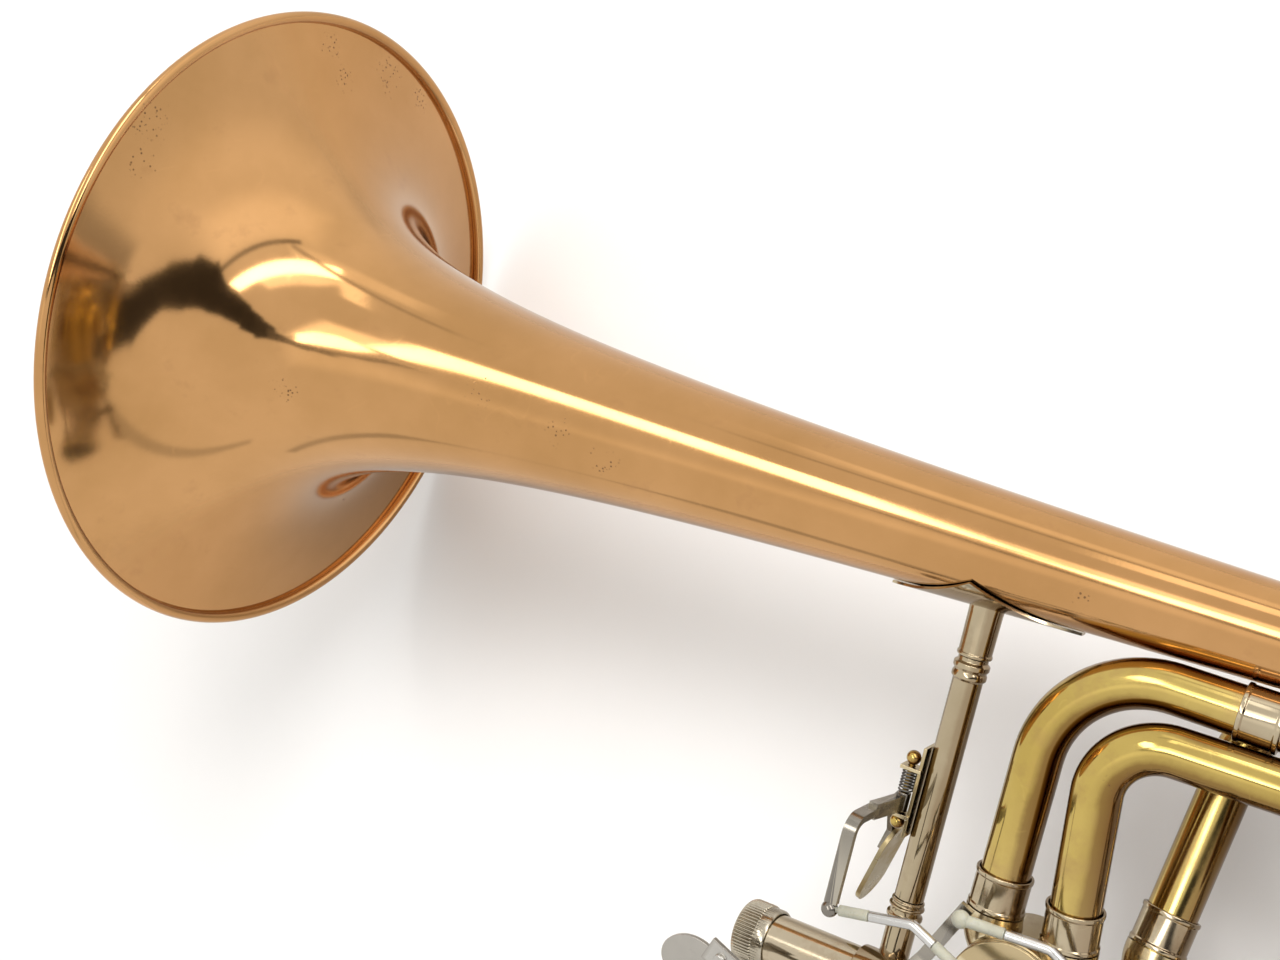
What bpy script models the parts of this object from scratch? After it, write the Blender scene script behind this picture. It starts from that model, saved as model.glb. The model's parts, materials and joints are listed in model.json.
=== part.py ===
# Bass trombone bell section with two rotary valves, lying on its side as photographed.
# Sizes below are millimetres in the bell frame: +x from the mouth to the tail, +y from the
# slide receiver to the bell, +z to the player's left. One parent empty turns this frame into
# the rest pose, and the mesh builder turns millimetres into metres.
import math

import bmesh
import bpy
import numpy as np
from mathutils import Matrix, Vector

MM = 0.001

# Rest pose: turn of the bell frame and its shift in metres
REST_TURN_DEG = (9.0, 6.933, 0.0)
REST_SHIFT = (-0.311787, 0.019368, 0.119519)

# Fits
SEAT_GAP = 0.3
SLIDE_GAP = 0.4
BEARING_GAP = 0.3

# Sides of round pieces and turn of one bend segment
SIDES_BELL = 40
SIDES_TUBE = 12
SIDES_MAIN = 14
SIDES_CASING = 24
BOW_STEPS = 9
SIDES_ROD = 8
BEND_STEP_DEG = 22.5
WELD_DISTANCE = 0.002

# Bell
BELL_RIM_R = 120.65
BELL_BEAD_R = 2.05
BELL_BEAD_X = 1.3
BELL_WALL = 0.8
BELL_STEM_R = 10.47
BELL_TAPER = 0.01537
BELL_FLARE_X = 12.36
BELL_FLARE_POWER = 0.6975
BELL_END_X = 455.0
BELL_STATIONS = (2.0, 4.8, 9.0, 15.0, 24.0, 37.0, 55.0, 80.0, 115.0, 165.0, 235.0, 335.0)

# Loop tubing of both valves
TUBE_R = 7.6
TUBE_WALL = 0.6
LEG_WALL = 0.6
FERRULE_WALL = 0.6
FERRULE_BEAD = 0.35
FERRULE_LENGTH = 12.0
BEAD_LENGTH = 1.2

# Rotary valves
ROTOR_R = 15.3
ROTOR_HEIGHT = 26.0
CASING_WALL = 1.4
CASING_HEIGHT = 29.0
PLATE_THICKNESS = 2.4
PORT_REACH = 20.5
PORT_WALL = 1.0
PASSAGE_R = 6.9
PASSAGE_WAIST_R = 5.3
SPINDLE_R = 3.2
FAR_SPINDLE_R = 2.6
CAP_R = 14.0
CAP_HEIGHT = 5.5
CAP_WALL = 1.3
VALVE_1 = (336.5, -124.0, 8.0)
VALVE_2 = (386.5, -127.0, -6.0)

# Receiver, lock nut and neckpipe
RECEIVER_FRONT = (245.4, -149.7, -0.5)
RECEIVER_DIR = (1.0, 0.09, 0.11)
RECEIVER_LENGTH = 58.0
RECEIVER_R = 9.07
RECEIVER_BORE_R = 7.9
RECEIVER_FLANGE_R = 9.6
RECEIVER_FLANGE_LENGTH = 1.4
NUT_R = 10.87
NUT_LENGTH = 11.4
NUT_KNURL_LENGTH = 7.4
NUT_KNURLS = 25
NUT_KNURL_DEPTH = 0.45
NECK_BEND_R = 17.0
NECK_PLUG = 8.0

# Bell brace
BRACE_X = 295.6
BRACE_R = 4.76
BRACE_BORE_R = 3.9
BRACE_SLEEVE_R = 5.7
BRACE_SLEEVE_END_Y = -34.6
BRACE_BEAD_Y = -39.3
BRACE_BEAD_R = 6.4
BRACE_COLLAR_TOP_Y = -115.0
BRACE_COLLAR_END_Y = -124.0
BRACE_COLLAR_R = 7.2
BRACE_POST_R = 4.75
FLANGE_LENGTH = 61.0
FLANGE_WIDTH = 36.0
FLANGE_THICKNESS = 1.0

# Main tuning slide
MAIN_BELL_OUTER_R = 12.0
MAIN_NECK_OUTER_R = 10.2
MAIN_OUTER_END_X = 530.0
MAIN_BOW_STEP = 31.0
MAIN_BOW_X = MAIN_OUTER_END_X + MAIN_BOW_STEP
MAIN_NECK_Y = -147.0
MAIN_INSERT = 62.0
MAIN_TRAVEL = 55.0
REAR_NECK_BEND_R = 18.0

# First valve slide
F_NEAR_Y = -22.8
F_NEAR_Z = 7.0
F_TUBE_X = 324.1
F_BEND_R = 33.0
B_LOWER = (347.1, -90.0, 11.6)
B_LEAN = (-0.079, 0.073)
B_CORNER_Y = -111.8
B_RUN_Y = -38.8
B_BEND_R = 18.0
B_DROP_X = 405.0
B_DROP_RUN = 30.0
B_DROP_BEND_R = 20.0
F_CROOK_R = 29.0
F_COUPLING_X = 375.0
F_OUTER_END_X = 500.0
F_CROOK_STEP = 22.0
F_CROOK_X = F_OUTER_END_X + F_CROOK_STEP
F_INSERT = 40.0
F_TRAVEL = 32.0

# Second valve slide
C_LOWER = (370.9, -90.0, -12.7)
C_LEAN = (0.081, -0.257)
C_CORNER_Y = -109.8
C_RUN_Y = -27.0
C_BEND_R = 18.0
D_RUN_Y = -112.0
D_SWING_X = 415.0
D_SWING_RUN = 45.0
D_SWING_BEND_R = 24.0
G_COUPLING_X = 462.0
G_OUTER_END_X = 520.0
G_CROOK_STEP = 14.0
G_CROOK_X = G_OUTER_END_X + G_CROOK_STEP
G_INSERT = 36.0
G_TRAVEL = 30.0

# Thumb lever and its linkage
THUMB_AXIS = (286.5, 3.5)
THUMB_ROD_R = 1.0
THUMB_ROD_TOP_Y = -71.1
THUMB_ROD_END_Y = -92.6
THUMB_BALL_R = 2.05
THUMB_TUBE_TOP_Y = -82.7
THUMB_TUBE_END_Y = -89.0
THUMB_TUBE_R = 1.75
THUMB_PADDLE_LENGTH = 32.0
THUMB_PADDLE_WIDTH = 17.5
THUMB_PADDLE_THICKNESS = 2.2
LEVER_BAR_WIDTH = 4.0
LEVER_BAR_THICKNESS = 2.6
LINK_BALL_R = 2.6
LINK_SOCKET_R = 3.2
LINK_SOCKET_LENGTH = 9.0
LINK_ROD_R = 1.35
LINK_1_START = (282.3, -115.6, 34.5)
LINK_1_END = (343.6, -116.9, 38.0)

# Finger lever and its linkage
FINGER_AXIS = (299.8, -144.8)
FINGER_HUB_R = 4.0
FINGER_HUB_Z = (22.0, 31.0)
FINGER_POST_R = 2.2
FINGER_ARM_Z = 26.6
FINGER_ARM_THICKNESS = 2.2
LINK_2_START = (320.5, -103.4, 31.4)
LINK_2_END = (379.1, -119.6, 25.0)
FINGER_PLATE_CENTRE = (243.0, -148.0, 27.0)
FINGER_PLATE_R = 9.5

# Return springs
SPRING_WIRE_R = 0.3
SPRING_COIL_R = 1.98
SPRING_TURNS = 6.5
SPRING_POINTS = 9
FINGER_SPRING_COIL_R = 3.0
FINGER_SPRING_TURNS = 2.5

# Materials: colour, roughness, metallic
FINISH = {
    "rose_brass": ((0.57, 0.27, 0.10), 0.22, 1.0),
    "yellow_brass": ((0.60, 0.41, 0.14), 0.24, 1.0),
    "nickel_silver": ((0.44, 0.40, 0.30), 0.28, 1.0),
    "dark_steel": ((0.10, 0.09, 0.08), 0.35, 1.0),
    "grey_steel": ((0.30, 0.30, 0.29), 0.32, 1.0),
    "aluminium": ((0.62, 0.62, 0.60), 0.30, 1.0),
    "nylon": ((0.80, 0.76, 0.66), 0.45, 0.0),
    "cork_rubber": ((0.05, 0.045, 0.04), 0.80, 0.0),
}


def clear_scene():
    for obj in list(bpy.data.objects):
        bpy.data.objects.remove(obj, do_unlink=True)


def make_material(name):
    colour, roughness, metallic = FINISH[name]
    material = bpy.data.materials.new(name)
    material.use_nodes = True
    shader = material.node_tree.nodes["Principled BSDF"]
    shader.inputs["Base Color"].default_value = (*colour, 1.0)
    shader.inputs["Roughness"].default_value = roughness
    shader.inputs["Metallic"].default_value = metallic
    return material


def unit(vector):
    vector = np.asarray(vector, float)
    return vector / np.linalg.norm(vector)


def side_frame(direction, reference=(0.0, 0.0, 1.0)):
    """Two directions square to the given one, the first nearest to the reference."""
    direction = unit(direction)
    reference = np.asarray(reference, float)
    if abs(direction @ reference) > 0.95:
        reference = np.array((1.0, 0.0, 0.0))
    first = unit(reference - (reference @ direction) * direction)
    return first, np.cross(direction, first)


def ring_points(centre, direction, radius, sides, reference=(0.0, 0.0, 1.0)):
    first, second = side_frame(direction, reference)
    turns = 2 * math.pi * (np.arange(sides) + 0.5) / sides
    spread = np.outer(np.cos(turns), first) + np.outer(np.sin(turns), second)
    return np.asarray(centre, float) + radius * spread


def stitch(rings, closed):
    """Faces between rings of points, where a ring of one point is a pole."""
    starts = np.cumsum([0] + [len(ring) for ring in rings])
    pairs = list(zip(range(len(rings) - 1), range(1, len(rings))))
    if closed:
        pairs.append((len(rings) - 1, 0))
    faces = []
    for low, high in pairs:
        a, b = starts[low], starts[high]
        count = max(len(rings[low]), len(rings[high]))
        for k in range(count):
            after = (k + 1) % count
            if len(rings[low]) == 1:
                faces.append((a, b + k, b + after))
            elif len(rings[high]) == 1:
                faces.append((a + k, b, a + after))
            else:
                faces.append((a + k, b + k, b + after, a + after))
    return np.vstack(rings), faces


def lathe(profile, origin, direction, sides, reference=(0.0, 0.0, 1.0)):
    """Turned body from (distance, radius) pairs. A pair with radius 0 is a pole."""
    origin = np.asarray(origin, float)
    direction = unit(direction)
    rings = []
    for distance, radius in profile:
        centre = origin + distance * direction
        if radius == 0:
            rings.append(centre[None, :])
        else:
            rings.append(ring_points(centre, direction, radius, sides, reference))
    return stitch(rings, closed=profile[0][1] != 0)


def bend_path(corners, bend_radii):
    """Straight runs between corners, with an arc of the given radius at each inner corner."""
    corners = [np.asarray(corner, float) for corner in corners]
    path = [corners[0]]
    for before, corner, after, radius in zip(corners, corners[1:], corners[2:], bend_radii):
        back = unit(before - corner)
        ahead = unit(after - corner)
        turn = math.pi - math.acos(float(np.clip(back @ ahead, -1, 1)))
        reach = radius * math.tan(turn / 2)
        centre = corner + unit(back + ahead) * radius / math.cos(turn / 2)
        start = corner + reach * back - centre
        end = corner + reach * ahead - centre
        steps = max(2, round(math.degrees(turn) / BEND_STEP_DEG))
        for k in range(steps + 1):
            share = k / steps
            weights = (math.sin((1 - share) * turn), math.sin(share * turn))
            path.append(centre + (weights[0] * start + weights[1] * end) / math.sin(turn))
    path.append(corners[-1])
    return np.array(path)


def path_tangents(path):
    steps = np.diff(path, axis=0)
    steps /= np.linalg.norm(steps, axis=1)[:, None]
    tangents = np.vstack((steps[:1], steps[:-1] + steps[1:], steps[-1:]))
    return tangents / np.linalg.norm(tangents, axis=1)[:, None]


def path_rings(path, radii, sides, reference=(0.0, 0.0, 1.0)):
    radii = np.broadcast_to(radii, len(path))
    tangents = path_tangents(path)
    return [ring_points(point, tangent, radius, sides, reference)
            for point, tangent, radius in zip(path, tangents, radii)]


def tube_mesh(path, outer, inner, sides=SIDES_TUBE, reference=(0.0, 0.0, 1.0)):
    """Open tube along a path. Radii are numbers, or one for each point."""
    outside = path_rings(path, outer, sides, reference)
    inside = path_rings(path, inner, sides, reference)
    return stitch(outside + inside[::-1], closed=True)


def rod_mesh(path, radii, sides=SIDES_ROD, reference=(0.0, 0.0, 1.0)):
    """Solid rod along a path, with flat ends."""
    rings = path_rings(path, radii, sides, reference)
    verts, faces = stitch(rings, closed=False)
    faces.append(tuple(range(sides)))
    faces.append(tuple(range(len(verts) - sides, len(verts))))
    return verts, faces


def ball_mesh(centre, radius, sides=10, bands=5):
    profile = [(-radius * math.cos(math.pi * k / bands), radius * math.sin(math.pi * k / bands))
               for k in range(bands + 1)]
    profile[0] = (-radius, 0)
    profile[-1] = (radius, 0)
    return lathe(profile, centre, (0, 1, 0), sides)


def plate_mesh(outline, origin, across, along, thickness):
    """Flat plate from an outline of (across, along) pairs, centred on its thickness."""
    across = unit(across)
    along = unit(along)
    normal = np.cross(across, along)
    base = np.array([np.asarray(origin, float) + u * across + v * along for u, v in outline])
    count = len(base)
    verts = np.vstack((base - normal * thickness / 2, base + normal * thickness / 2))
    faces = [tuple(range(count)), tuple(range(count, 2 * count))]
    faces += [(k, (k + 1) % count, count + (k + 1) % count, count + k) for k in range(count)]
    return verts, faces


def round_outline(radius, sides, centre=(0.0, 0.0)):
    turns = 2 * math.pi * np.arange(sides) / sides
    return [(centre[0] + radius * math.cos(t), centre[1] + radius * math.sin(t)) for t in turns]


def slot_outline(half_length, half_width, corner_steps=4):
    """Long shape along the second axis with round ends."""
    outline = []
    for sign in (1, -1):
        for k in range(corner_steps + 1):
            turn = math.pi * k / corner_steps
            outline.append((sign * half_width * math.cos(turn),
                            sign * (half_length - half_width + half_width * math.sin(turn))))
    return outline


def plain_object(name, mesh_data):
    verts, faces = mesh_data
    mesh = bpy.data.meshes.new(name)
    mesh.from_pydata([tuple(v) for v in np.asarray(verts, float)], [], faces)
    shape = bmesh.new()
    shape.from_mesh(mesh)
    bmesh.ops.recalc_face_normals(shape, faces=shape.faces)
    shape.to_mesh(mesh)
    shape.free()
    obj = bpy.data.objects.new(name, mesh)
    bpy.context.scene.collection.objects.link(obj)
    return obj


def bake_boolean(obj, tools, operation):
    """Apply one exact boolean for each tool and remove the tools."""
    for tool in tools:
        modifier = obj.modifiers.new(operation.lower(), "BOOLEAN")
        modifier.operation = operation
        modifier.solver = "EXACT"
        modifier.object = tool
        bpy.context.view_layer.update()
        graph = bpy.context.evaluated_depsgraph_get()
        result = bpy.data.meshes.new_from_object(obj.evaluated_get(graph))
        obj.modifiers.clear()
        spent = obj.data
        obj.data = result
        weld(obj.data)
        bpy.data.meshes.remove(spent)
        bpy.data.objects.remove(tool, do_unlink=True)


def weld(mesh):
    """Join points that a boolean left on the same spot."""
    shape = bmesh.new()
    shape.from_mesh(mesh)
    bmesh.ops.remove_doubles(shape, verts=shape.verts, dist=WELD_DISTANCE)
    bmesh.ops.dissolve_degenerate(shape, dist=WELD_DISTANCE, edges=shape.edges)
    shape.to_mesh(mesh)
    shape.free()


def tool_from(mesh_data):
    return plain_object("tool", mesh_data)


def built_object(name, body, material, add=(), cut=(), pivot=(0.0, 0.0, 0.0)):
    """A named piece: body, plus what is joined to it, less what is cut from it."""
    obj = plain_object(name, body)
    bake_boolean(obj, [tool_from(data) for data in add], "UNION")
    bake_boolean(obj, [tool_from(data) for data in cut], "DIFFERENCE")
    obj.data.name = name
    obj.data.materials.clear()
    obj.data.materials.append(bpy.data.materials[material])
    for polygon in obj.data.polygons:
        polygon.material_index = 0
    centre = Vector(pivot) * MM
    obj.data.transform(Matrix.Translation(-centre) @ Matrix.Scale(MM, 4))
    obj.location = centre
    obj.parent = bpy.data.objects["rest_pose"]
    return obj


def bell_radius(x):
    flare = BELL_RIM_R - BELL_STEM_R
    return BELL_STEM_R - BELL_TAPER * x + flare * (1 + x / BELL_FLARE_X) ** -BELL_FLARE_POWER


def build_bell():
    stations = np.array(BELL_STATIONS + (BELL_END_X,))
    outer = np.column_stack((stations, bell_radius(stations)))
    slopes = (bell_radius(stations + 0.01) - bell_radius(stations)) / 0.01
    inward = np.column_stack((slopes, -np.ones(len(slopes))))
    inward /= np.linalg.norm(inward, axis=1)[:, None]
    inner = outer + BELL_WALL * inward
    inner[-1, 0] = BELL_END_X
    bead_centre = np.array((BELL_BEAD_X, BELL_RIM_R - BELL_BEAD_R))
    turns = np.radians(np.linspace(246, 582, 9))
    bead = bead_centre + BELL_BEAD_R * np.column_stack((np.cos(turns), np.sin(turns)))
    profile = np.vstack((outer[::-1], bead, inner))
    body = lathe([tuple(pair) for pair in profile], (0, 0, 0), (1, 0, 0), SIDES_BELL)
    return built_object("bell", body, "rose_brass")


def build_ferrule(name, start, direction, tube_r, length=FERRULE_LENGTH, sides=SIDES_TUBE):
    inner = tube_r + SEAT_GAP
    outer = inner + FERRULE_WALL
    bead = outer + FERRULE_BEAD
    profile = [(0, inner), (0, bead), (BEAD_LENGTH, bead), (BEAD_LENGTH + 0.5, outer),
               (length - BEAD_LENGTH - 0.5, outer), (length - BEAD_LENGTH, bead),
               (length, bead), (length, inner)]
    return built_object(name, lathe(profile, start, direction, sides), "nickel_silver")


def valve_diagonal(valve, across, up, distance):
    step = distance / math.sqrt(2)
    return np.array((valve[0] + across * step, valve[1] + up * step, valve[2]))


def line_point(through, lean, y):
    """Point at height y on a loop tube that leans by (x, z) for each unit of y."""
    rise = y - through[1]
    return np.array((through[0] + lean[0] * rise, y, through[2] + lean[1] * rise))


ELBOW_R = 9.6
ELBOW_REACH = ELBOW_R * math.tan(math.radians(22.5))
ELBOW_LENGTH = 2.0
TUBE_SOCKET = 1.6
CORNER_A = np.array((F_TUBE_X, VALVE_1[1] + VALVE_1[0] - F_TUBE_X, F_NEAR_Z))
CORNER_B = line_point(B_LOWER, B_LEAN, B_CORNER_Y)
CORNER_C = line_point(C_LOWER, C_LEAN, C_CORNER_Y)
CORNER_D = np.array((VALVE_2[0] + D_RUN_Y - VALVE_2[1], D_RUN_Y, VALVE_2[2]))
UP_A = np.array((0.0, 1.0, 0.0))
UP_B = unit((B_LEAN[0], 1.0, B_LEAN[1]))
UP_C = unit((C_LEAN[0], 1.0, C_LEAN[1]))
REAR = np.array((1.0, 0.0, 0.0))


def elbow_path(valve, across, corner, onward):
    start = valve_diagonal(valve, across, 1, 8.0)
    end = corner + onward * (ELBOW_REACH + ELBOW_LENGTH)
    return bend_path([start, corner, end], [ELBOW_R])


def tube_seat(corner, onward):
    """Where a loop tube ends inside the casing elbow."""
    return corner + onward * (ELBOW_REACH + ELBOW_LENGTH - TUBE_SOCKET)


def ferrule_seat(corner, onward):
    return corner + onward * (ELBOW_REACH + ELBOW_LENGTH + SEAT_GAP)


def straight(start, end):
    return np.array((start, end), float)


def build_casing(name, valve, elbows):
    """Casing with its near bearing wall, two elbows above and two straight ports below."""
    bore = ROTOR_R + BEARING_GAP
    edge = bore + CASING_WALL
    half = CASING_HEIGHT / 2
    top = plate_top()
    hole = SPINDLE_R + BEARING_GAP
    barrel = [(-half, 0), (-half, edge), (half, edge), (half + 0.3, edge - 0.5),
              (half + 0.9, edge - 0.5), (half + 1.2, edge), (top - 0.3, edge), (top, edge - 0.4),
              (top, 0)]
    hollow = [(-half - 1, 0), (-half - 1, bore), (half, bore), (half, hole), (top + 1, hole),
              (top + 1, 0)]
    seat = TUBE_R + SEAT_GAP
    add = []
    cut = [lathe(hollow, valve, (0, 0, 1), SIDES_CASING)]
    for across, corner, onward in elbows:
        path = elbow_path(valve, across, corner, onward)
        add.append(rod_mesh(path, seat + PORT_WALL, SIDES_TUBE))
        past = np.vstack((path[:-1], path[-1] + onward))
        cut.append(rod_mesh(past, seat, SIDES_TUBE))
    for across in (-1, 1):
        start = valve_diagonal(valve, across, -1, 7.0)
        end = valve_diagonal(valve, across, -1, PORT_REACH)
        past = valve_diagonal(valve, across, -1, PORT_REACH + 1)
        add.append(rod_mesh(straight(start, end), seat + PORT_WALL, SIDES_TUBE))
        cut.append(rod_mesh(straight(start, past), seat, SIDES_TUBE))
    body = lathe(barrel, valve, (0, 0, 1), SIDES_CASING)
    return built_object(name, body, "yellow_brass", add, cut)


def build_rotor(name, valve):
    """Rotor core with its two curved passages and both spindles."""
    half = ROTOR_HEIGHT / 2
    near_end = plate_top() + HUB_HEIGHT
    far_end = CASING_HEIGHT / 2 + SEAT_GAP + PLATE_THICKNESS + 2.0
    profile = [(-far_end, 0), (-far_end, FAR_SPINDLE_R), (-half, FAR_SPINDLE_R), (-half, ROTOR_R),
               (half, ROTOR_R), (half, SPINDLE_R), (near_end, SPINDLE_R), (near_end, 0)]
    passages = []
    for up in (1, -1):
        corners = [valve_diagonal(valve, -1, up, 18), np.array(valve), valve_diagonal(valve, 1, up, 18)]
        path = bend_path(corners, [PASSAGE_BEND_R])
        inner = np.linalg.norm(path - np.array(valve), axis=1)
        share = np.clip((inner - inner.min()) / (ROTOR_R - inner.min()), 0, 1)
        radii = PASSAGE_WAIST_R + (PASSAGE_R - PASSAGE_WAIST_R) * share
        passages.append(rod_mesh(path, radii, 12))
    body = lathe(profile, valve, (0, 0, 1), 24)
    return built_object(name, body, "yellow_brass", cut=passages, pivot=valve)


HUB_HEIGHT = 6.6
HUB_R = 5.0
PASSAGE_BEND_R = 16.0
ARM_THICKNESS = 2.4
ARM_END_R = 2.2
STUD_R = 1.4
LUG_R = 1.6
LUG_OFFSET = 9.0
BUMPER_R = 2.4
BUMPER_HEIGHT = 3.6
HUB_CLEARANCE = 0.4
LUG_RISE = 1.4


def plate_top():
    """Height of the near bearing wall's face over the valve centre."""
    return CASING_HEIGHT / 2 + PLATE_THICKNESS


def build_valve_plates(number, valve):
    """Far bearing plate and the screw cap over it."""
    valve = np.array(valve)
    edge = ROTOR_R + BEARING_GAP + CASING_WALL
    low = CASING_HEIGHT / 2 + SEAT_GAP
    top = low + PLATE_THICKNESS
    far_hole = FAR_SPINDLE_R + BEARING_GAP
    far = [(low, far_hole), (low, edge - 1.0), (top, edge - 1.0), (top, far_hole)]
    built_object(f"valve_{number}_far_plate", lathe(far, valve, (0, 0, -1), 16), "yellow_brass")
    base = top + SEAT_GAP
    floor = base + CAP_HEIGHT
    inside = CAP_R - CAP_WALL
    cap = [(floor - CAP_WALL, 0), (floor - CAP_WALL, inside - 0.8), (base, inside), (base, CAP_R),
           (floor - 1.2, CAP_R), (floor, CAP_R - 1.6), (floor, 0)]
    built_object(f"valve_{number}_cap", lathe(cap, valve, (0, 0, -1), 18), "yellow_brass")


def build_stop_arm(number, valve, ball):
    """Arm on the spindle with the stud under the link and the lug that meets the bumpers."""
    valve = np.array(valve)
    low = valve[2] + plate_top() + HUB_CLEARANCE
    top = valve[2] + plate_top() + HUB_HEIGHT
    hub = [(0, SPINDLE_R + SEAT_GAP), (0, HUB_R), (top - low, HUB_R), (top - low, SPINDLE_R + SEAT_GAP)]
    base = np.array((valve[0], valve[1], low))
    out = np.array((ball[0] - valve[0], ball[1] - valve[1], 0.0))
    reach = np.linalg.norm(out)
    out = unit(out)
    sideways = np.array((-out[1], out[0], 0.0))
    mid = np.array((valve[0], valve[1], top - ARM_THICKNESS / 2))
    arm = [(-HUB_R + 1.2, 3.9), (HUB_R - 1.2, 3.9)]
    arm += [(ARM_END_R, reach), (ARM_END_R * 0.6, reach + ARM_END_R * 0.8),
            (-ARM_END_R * 0.6, reach + ARM_END_R * 0.8), (-ARM_END_R, reach)]
    tail = [(-HUB_R + 1.2, -3.9), (HUB_R - 1.2, -3.9), (LUG_R, -LUG_OFFSET - LUG_R),
            (-LUG_R, -LUG_OFFSET - LUG_R)]
    stud_top = ball[2] - LINK_SOCKET_R - HUB_CLEARANCE
    stud = straight(mid + out * reach, (ball[0], ball[1], stud_top))
    lug_centre = mid - out * LUG_OFFSET
    lug = straight(lug_centre, lug_centre - (0, 0, top - ARM_THICKNESS / 2 - low - LUG_RISE))
    add = [plate_mesh(arm, mid, sideways, out, ARM_THICKNESS),
           plate_mesh(tail, mid, sideways, out, ARM_THICKNESS),
           rod_mesh(stud, STUD_R, 8), rod_mesh(lug, LUG_R, 10)]
    body = lathe(hub, base, (0, 0, 1), 20)
    built_object(f"valve_{number}_stop_arm", body, "grey_steel", add, pivot=tuple(valve))
    screw = [(SEAT_GAP, 0), (SEAT_GAP, 4.2), (1.0, 4.2), (1.3, 3.7), (1.3, 0)]
    head = lathe(screw, (valve[0], valve[1], top), (0, 0, 1), 16)
    slot = box_mesh((valve[0], valve[1], top + 1.2), (6.0, 0.45, 0.5))
    built_object(f"valve_{number}_arm_screw", head, "dark_steel", cut=[slot], pivot=tuple(valve))


def box_mesh(centre, half):
    corners = [(x, y) for x, y in ((-1, -1), (1, -1), (1, 1), (-1, 1))]
    outline = [(half[0] * x, half[1] * y) for x, y in corners]
    return plate_mesh(outline, centre, (1, 0, 0), (0, 1, 0), 2 * half[2])


def build_bumpers(number, valve, lug_rest_deg, turn):
    """Rubber bumper strip with two posts that stop the lug a quarter turn apart."""
    apart = 2 * math.degrees(math.asin((LUG_R + BUMPER_R + HUB_CLEARANCE) / 2 / LUG_OFFSET))
    base = np.array(valve) + (0, 0, plate_top() + SEAT_GAP)
    feet = []
    for angle in (lug_rest_deg - turn * apart, lug_rest_deg + turn * (90 + apart)):
        at = math.radians(angle)
        feet.append(base + LUG_OFFSET * np.array((math.cos(at), math.sin(at), 0.0)))
    posts = []
    for foot in feet:
        profile = [(0.2, 0), (0.2, BUMPER_R), (BUMPER_HEIGHT - 0.5, BUMPER_R),
                   (BUMPER_HEIGHT, BUMPER_R - 0.5), (BUMPER_HEIGHT, 0)]
        posts.append(lathe(profile, foot, (0, 0, 1), 12))
    first = min(lug_rest_deg - turn * apart, lug_rest_deg + turn * (90 + apart)) - 8
    last = max(lug_rest_deg - turn * apart, lug_rest_deg + turn * (90 + apart)) + 8
    turns = np.radians(np.linspace(first, last, 15))
    ring = [(LUG_OFFSET + STRIP_REACH, t) for t in turns] + [(LUG_OFFSET - 1.8, t) for t in turns[::-1]]
    outline = [(r * math.cos(t), r * math.sin(t)) for r, t in ring]
    strip = plate_mesh(outline, base + (0, 0, STRIP_THICKNESS / 2), (1, 0, 0), (0, 1, 0),
                       STRIP_THICKNESS)
    built_object(f"valve_{number}_bumpers", strip, "cork_rubber", add=posts)


STRIP_REACH = 2.6
STRIP_THICKNESS = 1.0


def build_tube(name, path, material="yellow_brass", outer=TUBE_R, wall=TUBE_WALL, sides=SIDES_TUBE):
    outer = np.broadcast_to(outer, len(path))
    return built_object(name, tube_mesh(path, outer, outer - wall, sides), material)


def build_outer_tube(name, end, stop_x, joint_r, outer_r, sides=SIDES_TUBE):
    """Fixed slide tube with the ferrule that is soldered over the joint before it."""
    inner = joint_r + SEAT_GAP
    ferrule = inner + FERRULE_WALL
    bead = ferrule + FERRULE_BEAD
    half = FERRULE_LENGTH / 2
    length = stop_x - end[0] + half
    bore = outer_r - TUBE_WALL
    profile = [(0, inner), (0, bead), (BEAD_LENGTH, bead), (BEAD_LENGTH + 0.5, ferrule),
               (2 * half - BEAD_LENGTH - 0.5, ferrule), (2 * half - BEAD_LENGTH, bead),
               (2 * half, bead), (2 * half, outer_r), (length, outer_r), (length, bore),
               (half + SEAT_GAP, bore), (half + SEAT_GAP, inner)]
    body = lathe(profile, np.asarray(end) - REAR * half, REAR, sides)
    return built_object(name, body, "nickel_silver")


def crook_path(near, far, start_x, step_x, bow_x):
    """U of two straight legs with a half circle, and a mark for the slim leg points."""
    near = np.asarray(near, float) * (0, 1, 1)
    far = np.asarray(far, float) * (0, 1, 1)
    middle = (near + far) / 2 + bow_x * REAR
    spoke = (near - far) / 2
    radius = np.linalg.norm(spoke)
    arc = [middle + math.cos(t) * spoke + math.sin(t) * radius * REAR
           for t in np.linspace(0, math.pi, BOW_STEPS + 1)]
    near_leg = [np.array((x, *near[1:])) for x in (start_x, step_x, step_x + 0.8)]
    far_leg = [np.array((x, *far[1:])) for x in (step_x + 0.8, step_x, start_x)]
    path = np.array(near_leg + arc + far_leg)
    slim = np.zeros(len(path), bool)
    slim[[0, 1, -2, -1]] = True
    return path, slim


def build_crook(name, near, far, start_x, step_x, bow_x, leg_radii, bow_radii, material, sides):
    """Moving half of a tuning slide: slim legs that run in the outer tubes and a wider bow."""
    path, slim = crook_path(near, far, start_x, step_x, bow_x)
    share = np.clip(np.arange(len(path)) - 3, 0, BOW_STEPS) / BOW_STEPS
    legs = leg_radii[0] + (leg_radii[1] - leg_radii[0]) * share
    bow = bow_radii[0] + (bow_radii[1] - bow_radii[0]) * share
    outer = np.where(slim, legs, bow)
    return built_object(name, tube_mesh(path, outer, legs - LEG_WALL, sides), material,
                        pivot=(start_x, *((np.asarray(near) + np.asarray(far)) / 2)[1:]))


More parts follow.
